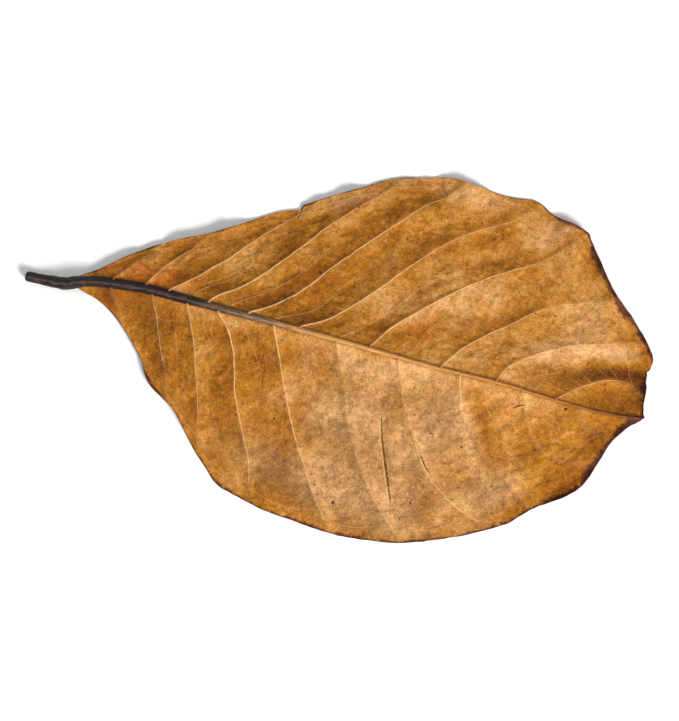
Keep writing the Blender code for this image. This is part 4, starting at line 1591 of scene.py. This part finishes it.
@built_once("materials", "midrib_bark")
def midrib_material(name):
    """Woody midrib and stalk: near black at the stalk and tan toward the tip, with a painted highlight along
    the crest, grey on the dark part.
    """
    material, tree, shader = new_material(name)
    colours = bpy.context.scene.almond_leaf_colours
    fibre = group_outputs(tree, fibre_group(), {"Fineness": 1.0})
    coordinates = node(tree, "ShaderNodeTexCoord").outputs["Object"]
    along = node(tree, "ShaderNodeSeparateXYZ", {0: coordinates}).outputs["X"]
    along = plus(tree, math_node(tree, "DIVIDE", along, MM), DRAWING_CENTRE[0])
    along = plus(tree, along, remapped(tree, fibre["Blotch"], 0.25, 0.75, -9.0, 9.0))
    share = node(tree, "ShaderNodeMapRange", {0: along, 1: -15.0, 2: 190.0}).outputs[0]
    body = ramp_node(tree, share, [
        (0.0, colours.stalk), (0.26, colours.stalk), (0.38, colours.midrib_brown),
        (0.49, colours.tan), (0.78, colours.ochre), (0.88, colours.brown), (0.985, colours.rim),
    ])
    # Painted highlight: colours of the lighter line along the crest, grey on the dark stalk and paler further
    # on
    crest = ramp_node(tree, share, [
        (0.0, colours.stalk_highlight_line), (0.28, colours.stalk_highlight_line), (0.4, colours.midrib_highlight_tan),
        (0.53, colours.vein), (0.8, colours.tan), (0.93, colours.ochre), (0.985, colours.rim),
    ])
    side = attribute_node(tree, "rib_side")
    side = plus(tree, side, remapped(tree, fibre["Fibre"], 0.2, 0.8, -0.3, 0.3))
    # The painted highlight lies along the crest, a little toward the lower side in the drawing
    line = remapped(tree, math_node(tree, "ABSOLUTE", plus(tree, side, 0.15)), 0.04, 0.32, 0.8, 0.0)
    colour = mixed(tree, line, body, crest)
    shade = remapped(tree, fibre["Fibre"], 0.3, 0.7, 0.72, 1.2)
    colour = tinted(tree, colour, shade)
    roughness = remapped(tree, fibre["Fibre"], 0.3, 0.7, 0.42, 0.62)
    finish_material(tree, shader, colour, roughness, 0.25, fibre["Fibre"], 0.00022)
    return material


def vein_material(name, strength, faded):
    """Pale vein that takes on the tissue's own colour where it fades."""
    material, tree, shader = new_material(name)
    colours = bpy.context.scene.almond_leaf_colours
    fibre = group_outputs(tree, fibre_group(), {"Fineness": 1.6})
    pale = remapped(tree, attribute_node(tree, "fade"), 0.0, 1.0, strength, faded)
    pale = times(tree, pale, remapped(tree, fibre["Blotch"], 0.25, 0.6, 0.55, 1.0))
    shade = mixed(tree, 0.4, toned_tissue(tree)["Color"], colours.brown)
    colour = mixed(tree, pale, shade, colours.vein)
    colour = tinted(tree, colour, remapped(tree, fibre["Fibre"], 0.3, 0.7, 0.85, 1.1))
    roughness = remapped(tree, fibre["Fibre"], 0.3, 0.7, 0.5, 0.65)
    finish_material(tree, shader, colour, roughness, 0.35, fibre["Fibre"], 0.00008, 0.7)
    return material


@built_once("materials", "dark_speck")
def speck_material(name):
    """Dark, rough specks."""
    material, tree, shader = new_material(name)
    colours = bpy.context.scene.almond_leaf_colours
    patchy = noise_node(tree, millimetres(tree), 4.0, 3, 0.6)
    colour = mixed(tree, remapped(tree, patchy, 0.35, 0.65), colours.speck, colours.darkest)
    roughness = remapped(tree, patchy, 0.3, 0.7, 0.6, 0.8)
    finish_material(tree, shader, colour, roughness, 0.12, patchy, 0.0001, 0.6)
    return material


def geometry_tree(name, inputs):
    """Empty geometry node tree with these inputs after its geometry; returns it and its two end nodes."""
    tree = bpy.data.node_groups.new(name, "GeometryNodeTree")
    tree.interface.new_socket("Geometry", in_out="INPUT", socket_type="NodeSocketGeometry")
    for label, kind in inputs:
        tree.interface.new_socket(label, in_out="INPUT", socket_type=kind)
    tree.interface.new_socket("Geometry", in_out="OUTPUT", socket_type="NodeSocketGeometry")
    return tree, tree.nodes.new("NodeGroupInput"), tree.nodes.new("NodeGroupOutput")


def end_tree(tree, geometry, entry, result):
    """Ends a tree: everything real, smooth and with its material."""
    smooth = node(tree, "GeometryNodeSetShadeSmooth", {"Geometry": geometry})
    real = node(tree, "GeometryNodeRealizeInstances", {"Geometry": smooth.outputs[0]})
    finish = node(
        tree, "GeometryNodeSetMaterial", {"Geometry": real.outputs[0], "Material": entry.outputs["Material"]}
    )
    tree.links.new(finish.outputs[0], result.inputs[0])


@built_once("node_groups", "veins_along_lines")
def swept_veins_tree(name):
    """Lays each line of edges on the surface and sweeps a round profile along it, of its own width."""
    tree, entry, result = geometry_tree(
        name, [
            ("Surface", "NodeSocketObject"), ("Step", "NodeSocketFloat"), ("Sides", "NodeSocketInt"),
            ("Sunk", "NodeSocketFloat"), ("Most rise", "NodeSocketFloat"), ("Material", "NodeSocketMaterial"),
        ]
    )
    curve = node(tree, "GeometryNodeMeshToCurve", {"Mesh": entry.outputs["Geometry"]})
    even = node(tree, "GeometryNodeResampleCurve", {"Curve": curve.outputs[0]}, mode="LENGTH")
    tree.links.new(entry.outputs["Step"], even.inputs["Length"])
    width = node(tree, "GeometryNodeInputNamedAttribute", {"Name": "half_width"}, data_type="FLOAT")
    surface = node(tree, "GeometryNodeObjectInfo", {"Object": entry.outputs["Surface"]})
    place = node(tree, "GeometryNodeInputPosition")
    above = node(tree, "ShaderNodeVectorMath", {0: place.outputs[0], 1: (0, 0, 0.01)}, operation="ADD")
    ray = node(tree, "GeometryNodeRaycast", {
        "Target Geometry": surface.outputs["Geometry"], "Source Position": above.outputs[0],
        "Ray Direction": (0, 0, -1), "Ray Length": 0.05,
    })
    drawn = node(tree, "ShaderNodeSeparateXYZ", {0: place.outputs[0]})
    hit = node(tree, "ShaderNodeSeparateXYZ", {0: ray.outputs["Hit Position"]})
    highest = plus(tree, drawn.outputs[2], entry.outputs["Most rise"])
    height = math_node(tree, "MINIMUM", hit.outputs[2], highest)
    sunk = times(tree, width.outputs[0], entry.outputs["Sunk"])
    laid = node(tree, "ShaderNodeCombineXYZ", {
        0: drawn.outputs[0], 1: drawn.outputs[1], 2: math_node(tree, "SUBTRACT", height, sunk),
    })
    moved = node(tree, "GeometryNodeSetPosition", {
        "Geometry": even.outputs[0], "Selection": ray.outputs["Is Hit"], "Position": laid.outputs[0],
    })
    inputs = {"Resolution": entry.outputs["Sides"], "Radius": 1.0}
    circle = node(tree, "GeometryNodeCurvePrimitiveCircle", inputs)
    sweep = node(tree, "GeometryNodeCurveToMesh", {
        "Curve": moved.outputs[0], "Profile Curve": circle.outputs[0], "Scale": width.outputs[0],
        "Fill Caps": True,
    })
    end_tree(tree, sweep.outputs[0], entry, result)
    return tree


@built_once("node_groups", "specks_on_points")
def strewn_specks_tree(name):
    """Lays a low dome on each point, as large as the point's own attribute says, and turned at random."""
    tree, entry, result = geometry_tree(
        name, [("Flatness", "NodeSocketFloat"), ("Seed", "NodeSocketInt"), ("Material", "NodeSocketMaterial")]
    )
    points = node(tree, "GeometryNodeMeshToPoints", {"Mesh": entry.outputs["Geometry"]})
    ball = node(tree, "GeometryNodeMeshUVSphere", {"Segments": 9, "Rings": 5, "Radius": 1.0})
    radius = node(tree, "GeometryNodeInputNamedAttribute", {"Name": "radius_of_speck"}, data_type="FLOAT")
    turn = node(tree, "FunctionNodeRandomValue", {1: (0.0, 0.0, 6.28), "Seed": entry.outputs["Seed"]},
                data_type="FLOAT_VECTOR")
    longer = node(tree, "FunctionNodeRandomValue", {2: 0.7, 3: 1.3, "Seed": entry.outputs["Seed"]})
    wide = times(tree, radius.outputs[0], longer.outputs[1])
    tall = times(tree, radius.outputs[0], entry.outputs["Flatness"])
    size = node(tree, "ShaderNodeCombineXYZ", {0: wide, 1: radius.outputs[0], 2: tall})
    laid = node(tree, "GeometryNodeInstanceOnPoints", {
        "Points": points.outputs[0], "Instance": ball.outputs[0], "Rotation": turn.outputs[0],
        "Scale": size.outputs[0],
    })
    end_tree(tree, laid.outputs[0], entry, result)
    return tree


def made_by_tree(base, tree, values):
    """Runs a geometry node tree on the base object and leaves its result there as a plain mesh."""
    modifier = base.modifiers.new(tree.name, "NODES")
    modifier.node_group = tree
    sockets = {item.name: item.identifier for item in tree.interface.items_tree if item.in_out == "INPUT"}
    for label, value in values.items():
        modifier[sockets[label]] = value
    graph = bpy.context.evaluated_depsgraph_get()
    mesh = bpy.data.meshes.new_from_object(base.evaluated_get(graph))
    if not mesh.polygons:
        raise RuntimeError(f"{tree.name} made no faces for {base.name}")
    base.modifiers.remove(modifier)
    mesh.materials.clear()
    mesh.materials.append(values["Material"])
    mesh.polygons.foreach_set("material_index", [0] * len(mesh.polygons))
    base.data = mesh
    mesh.name = base.name


def finish_piece(piece):
    """The piece moves with the leaf's body."""
    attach(piece, "root")


def swept_veins(name, lines, values):
    """Piece of veins that lie along these lines on the blade."""
    veins = line_object(name, lines)
    made_by_tree(veins, swept_veins_tree(), {"Surface": bpy.data.objects["leaf_blade"], **values})
    finish_piece(veins)


class LeafForm(bpy.types.PropertyGroup):
    """Sizes of the leaf's finer pieces."""

    thickness: FloatProperty(
        name="Blade thickness", description="Thickness of the dried blade", default=0.00045,
        min=0.0002, max=0.001, subtype="DISTANCE", unit="LENGTH",
    )
    vein_step: FloatProperty(
        name="Side vein step", description="Distance between the rings of a side vein", default=0.0005,
        min=0.0002, max=0.003, subtype="DISTANCE", unit="LENGTH",
    )
    cross_vein_step: FloatProperty(
        name="Fine vein step", description="Distance between the rings of a fine vein", default=0.0007,
        min=0.0002, max=0.003, subtype="DISTANCE", unit="LENGTH",
    )
    vein_sides: IntProperty(
        name="Side vein sides", description="Faces round a side vein", default=10, min=4, max=24
    )
    cross_vein_sides: IntProperty(
        name="Fine vein sides", description="Faces round a fine vein", default=6, min=3, max=12
    )
    speck_flatness: FloatProperty(
        name="Speck height", description="Height of a speck for its width", default=0.3, min=0.05, max=1
    )


def colour_property(name, description, default):
    settings = {"name": name, "description": description, "default": default}
    return FloatVectorProperty(**settings, subtype="COLOR", min=0, max=1)


class LeafColours(bpy.types.PropertyGroup):
    """Colours of the leaf and of its stage."""

    darkest: colour_property("Darkest mottle", "Darkest blotches of the underside", (0.09, 0.025, 0.002))
    brown: colour_property("Brown mottle", "Brown blotches of the underside", (0.235, 0.077, 0.005))
    ochre: colour_property("Ochre", "Main colour of the underside", (0.365, 0.135, 0.009))
    tan: colour_property("Tan", "Lighter colour of the underside", (0.495, 0.234, 0.059))
    pale: colour_property("Pale tan", "Palest blotches of the underside", (0.64, 0.4, 0.185))
    pink: colour_property("Pink tan", "Colour that warm patches turn to", (0.52, 0.28, 0.12))
    orange: colour_property("Orange", "Tint of the orange patches", (1.0, 0.66, 0.5))
    vein: colour_property("Vein", "Pale side veins", (0.68, 0.385, 0.145))
    # The rim colour also serves as the painted shade along the midrib's foot
    rim: colour_property("Rim", "Dark rim of the blade", (0.07, 0.02, 0.012))
    speck: colour_property("Speck", "Dark specks", (0.045, 0.016, 0.006))
    stalk: colour_property("Stalk", "Near black stalk and base of the midrib", (0.012, 0.006, 0.005))
    # Painted highlight: the grey line along the crest of the dark stalk and midrib
    stalk_highlight_line: colour_property("Stalk line", "Grey line along the dark midrib", (0.1, 0.06, 0.052))
    midrib_brown: colour_property("Midrib brown", "Midrib where it turns paler", (0.16, 0.085, 0.045))
    # Painted highlight: the paler crest line where the midrib turns tan
    midrib_highlight_tan: colour_property("Midrib tan", "Top of the midrib where it turns paler", (0.38, 0.24, 0.13))
    upper_dark: colour_property("Upper side dark", "Darkest tissue of the glossy side", (0.16, 0.042, 0.009))
    upper_middle: colour_property("Upper side", "Main colour of the glossy side", (0.33, 0.098, 0.018))
    upper_light: colour_property("Upper side light", "Lightest tissue of the glossy side", (0.5, 0.18, 0.042))
    upper_vein: colour_property("Upper side vein", "Sunken veins of the glossy side", (0.06, 0.018, 0.007))
    floor: colour_property("Floor", "Pale floor", (0.86, 0.86, 0.85))


class ALMOND_OT_blade(bpy.types.Operator):
    """Makes the blade with its midrib, in place of the plain solid"""

    bl_idname = "almond_leaf.blade"
    bl_label = "Blade and Midrib"

    def execute(self, context):
        thickness = context.scene.almond_leaf_form.thickness / MM
        blade = new_object("leaf_blade", blade_mesh(thickness))
        for material in (underside_material(), upper_side_material(), midrib_material()):
            blade.data.materials.append(material)
        finish_piece(blade)
        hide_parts("leaf")
        return {"FINISHED"}


class ALMOND_OT_stalk(bpy.types.Operator):
    """Makes the short stalk, which runs into the midrib"""

    bl_idname = "almond_leaf.stalk"
    bl_label = "Stalk"

    def execute(self, context):
        stalk = new_object("leaf_stalk", stalk_mesh())
        stalk.data.materials.append(midrib_material())
        finish_piece(stalk)
        return {"FINISHED"}


class ALMOND_OT_side_veins(bpy.types.Operator):
    """Makes the raised side veins"""

    bl_idname = "almond_leaf.side_veins"
    bl_label = "Side Veins"

    def execute(self, context):
        form = context.scene.almond_leaf_form
        swept_veins("leaf_side_veins", side_vein_lines(form.thickness / MM), {
            "Step": form.vein_step, "Sides": form.vein_sides, "Sunk": SIDE_VEIN_SUNK,
            "Most rise": SIDE_VEIN_MOST_RISE, "Material": vein_material("pale_vein", 0.88, 0.0),
        })
        return {"FINISHED"}


class ALMOND_OT_fine_veins(bpy.types.Operator):
    """Makes the finer veins that run across between the side veins"""

    bl_idname = "almond_leaf.fine_veins"
    bl_label = "Fine Veins"

    def execute(self, context):
        form = context.scene.almond_leaf_form
        swept_veins("leaf_fine_veins", cross_vein_lines(form.thickness / MM), {
            "Step": form.cross_vein_step, "Sides": form.cross_vein_sides, "Sunk": FINE_VEIN_SUNK,
            "Most rise": FINE_VEIN_MOST_RISE, "Material": vein_material("fine_vein", 0.6, 0.15),
        })
        return {"FINISHED"}


class ALMOND_OT_specks(bpy.types.Operator):
    """Lays the dark specks on the underside"""

    bl_idname = "almond_leaf.specks"
    bl_label = "Specks"

    def execute(self, context):
        form = context.scene.almond_leaf_form
        specks = speck_object("leaf_specks", form.thickness / MM)
        made_by_tree(specks, strewn_specks_tree(), {
            "Flatness": form.speck_flatness, "Seed": SPECK_SEED, "Material": speck_material(),
        })
        finish_piece(specks)
        return {"FINISHED"}


class ALMOND_OT_stage(bpy.types.Operator):
    """Makes the pale floor, the soft lights and the camera that looks down on the leaf"""

    bl_idname = "almond_leaf.stage"
    bl_label = "Stage"

    def execute(self, context):
        scene = context.scene
        make_floor()
        make_lights()
        make_camera(scene)
        scene.view_settings.view_transform = "Standard"
        return {"FINISHED"}


def make_floor():
    """Wide pale floor, just under the leaf."""
    mesh = bpy.data.meshes.new("floor")
    corners = [
        (x * FLOOR_REACH, y * FLOOR_REACH, -FLOOR_DROP) for x, y in ((-1, -1), (1, -1), (1, 1), (-1, 1))
    ]
    mesh.from_pydata(corners, [], [(0, 1, 2, 3)])
    floor = new_object("floor", mesh)
    material, tree, shader = new_material("pale_floor")
    colour = bpy.context.scene.almond_leaf_colours.floor
    coordinates = node(tree, "ShaderNodeTexCoord").outputs["Object"]
    cloudy = noise_node(tree, coordinates, 6.0, 3, 0.5)
    shade = [(0.3, [0.97 * part for part in colour]), (0.7, colour)]
    tree.links.new(ramp_node(tree, cloudy, shade), shader.inputs["Base Color"])
    shader.inputs["Roughness"].default_value = 0.9
    shader.inputs["Specular IOR Level"].default_value = 0.1
    floor.data.materials.append(material)


def make_light(name, azimuth, elevation, distance, size, energy, colour):
    """Soft square light that points at the leaf."""
    data = bpy.data.lights.new(name, "AREA")
    data.shape = "SQUARE"
    data.size = size
    data.energy = energy
    data.color = colour
    light = bpy.data.objects.new(name, data)
    bpy.context.scene.collection.objects.link(light)
    turn, rise = math.radians(azimuth), math.radians(elevation)
    away = Vector((math.cos(turn) * math.cos(rise), math.sin(turn) * math.cos(rise), math.sin(rise)))
    light.location = away * distance
    light.rotation_euler = away.to_track_quat("Z", "Y").to_euler()


def make_lights():
    for name, settings in LIGHTS.items():
        make_light(name, *settings)
    world = bpy.data.worlds.new("soft_room")
    world.use_nodes = True
    background = world.node_tree.nodes["Background"]
    background.inputs["Color"].default_value = (*ROOM_COLOUR, 1)
    background.inputs["Strength"].default_value = ROOM_STRENGTH
    bpy.context.scene.world = world


def make_camera(scene):
    """Camera straight above the leaf, turned so that the leaf lies in the picture as in the photograph."""
    data = bpy.data.cameras.new("camera")
    data.lens = CAMERA_LENS
    data.sensor_width = SENSOR_WIDTH
    (_, _, low_z), (_, _, high_z) = SOLID_BOX
    right = Vector((math.cos(PICTURE_TURN), math.sin(PICTURE_TURN), 0))
    up = Vector((-math.sin(PICTURE_TURN), math.cos(PICTURE_TURN), 0))
    outline = np.vstack([EDGE_PATHS[1][0], EDGE_PATHS[-1][0], [(STALK[0][0], MIDRIB_LINE[0][1])]])
    points = placed(outline[:, 0], outline[:, 1], 0)[:, :2]
    spans = [points @ np.array(axis[:2]) for axis in (right, up)]
    middles = [(span.min() + span.max()) / 2 for span in spans]
    width = (spans[0].max() - spans[0].min()) / LEAF_SHARE_OF_PICTURE
    long_side = width * PICTURE_SIZE[1] / PICTURE_SIZE[0]
    camera = bpy.data.objects.new("camera", data)
    scene.collection.objects.link(camera)
    middle = right * middles[0] + up * middles[1]
    camera.location = (middle.x, middle.y, (low_z + high_z) / 2 + long_side * CAMERA_LENS / SENSOR_WIDTH)
    camera.rotation_euler = (0, 0, PICTURE_TURN)
    scene.camera = camera


OPERATORS = (
    ALMOND_OT_blade, ALMOND_OT_stalk, ALMOND_OT_side_veins, ALMOND_OT_fine_veins, ALMOND_OT_specks,
    ALMOND_OT_stage,
)


class ALMOND_PT_leaf(bpy.types.Panel):
    """Lists the leaf's pieces, sizes and colours"""

    bl_idname = "ALMOND_PT_leaf"
    bl_label = "Dried Almond Leaf"
    bl_space_type = "VIEW_3D"
    bl_region_type = "UI"
    bl_category = "Leaf"

    def draw(self, context):
        layout = self.layout
        for operator in OPERATORS:
            layout.operator(operator.bl_idname)
        for settings in (context.scene.almond_leaf_form, context.scene.almond_leaf_colours):
            box = layout.box()
            for name in settings.__annotations__:
                box.prop(settings, name)


CLASSES = (LeafForm, LeafColours, *OPERATORS, ALMOND_PT_leaf)


def register():
    for each in CLASSES:
        bpy.utils.register_class(each)
    bpy.types.Scene.almond_leaf_form = PointerProperty(type=LeafForm)
    bpy.types.Scene.almond_leaf_colours = PointerProperty(type=LeafColours)


def unregister():
    del bpy.types.Scene.almond_leaf_colours
    del bpy.types.Scene.almond_leaf_form
    for each in reversed(CLASSES):
        bpy.utils.unregister_class(each)


def main():
    register()
    bpy.ops.almond_leaf.blade()
    bpy.ops.almond_leaf.stalk()
    bpy.ops.almond_leaf.side_veins()
    bpy.ops.almond_leaf.fine_veins()
    bpy.ops.almond_leaf.specks()
    bpy.ops.almond_leaf.stage()


if __name__ == "__main__":
    main()
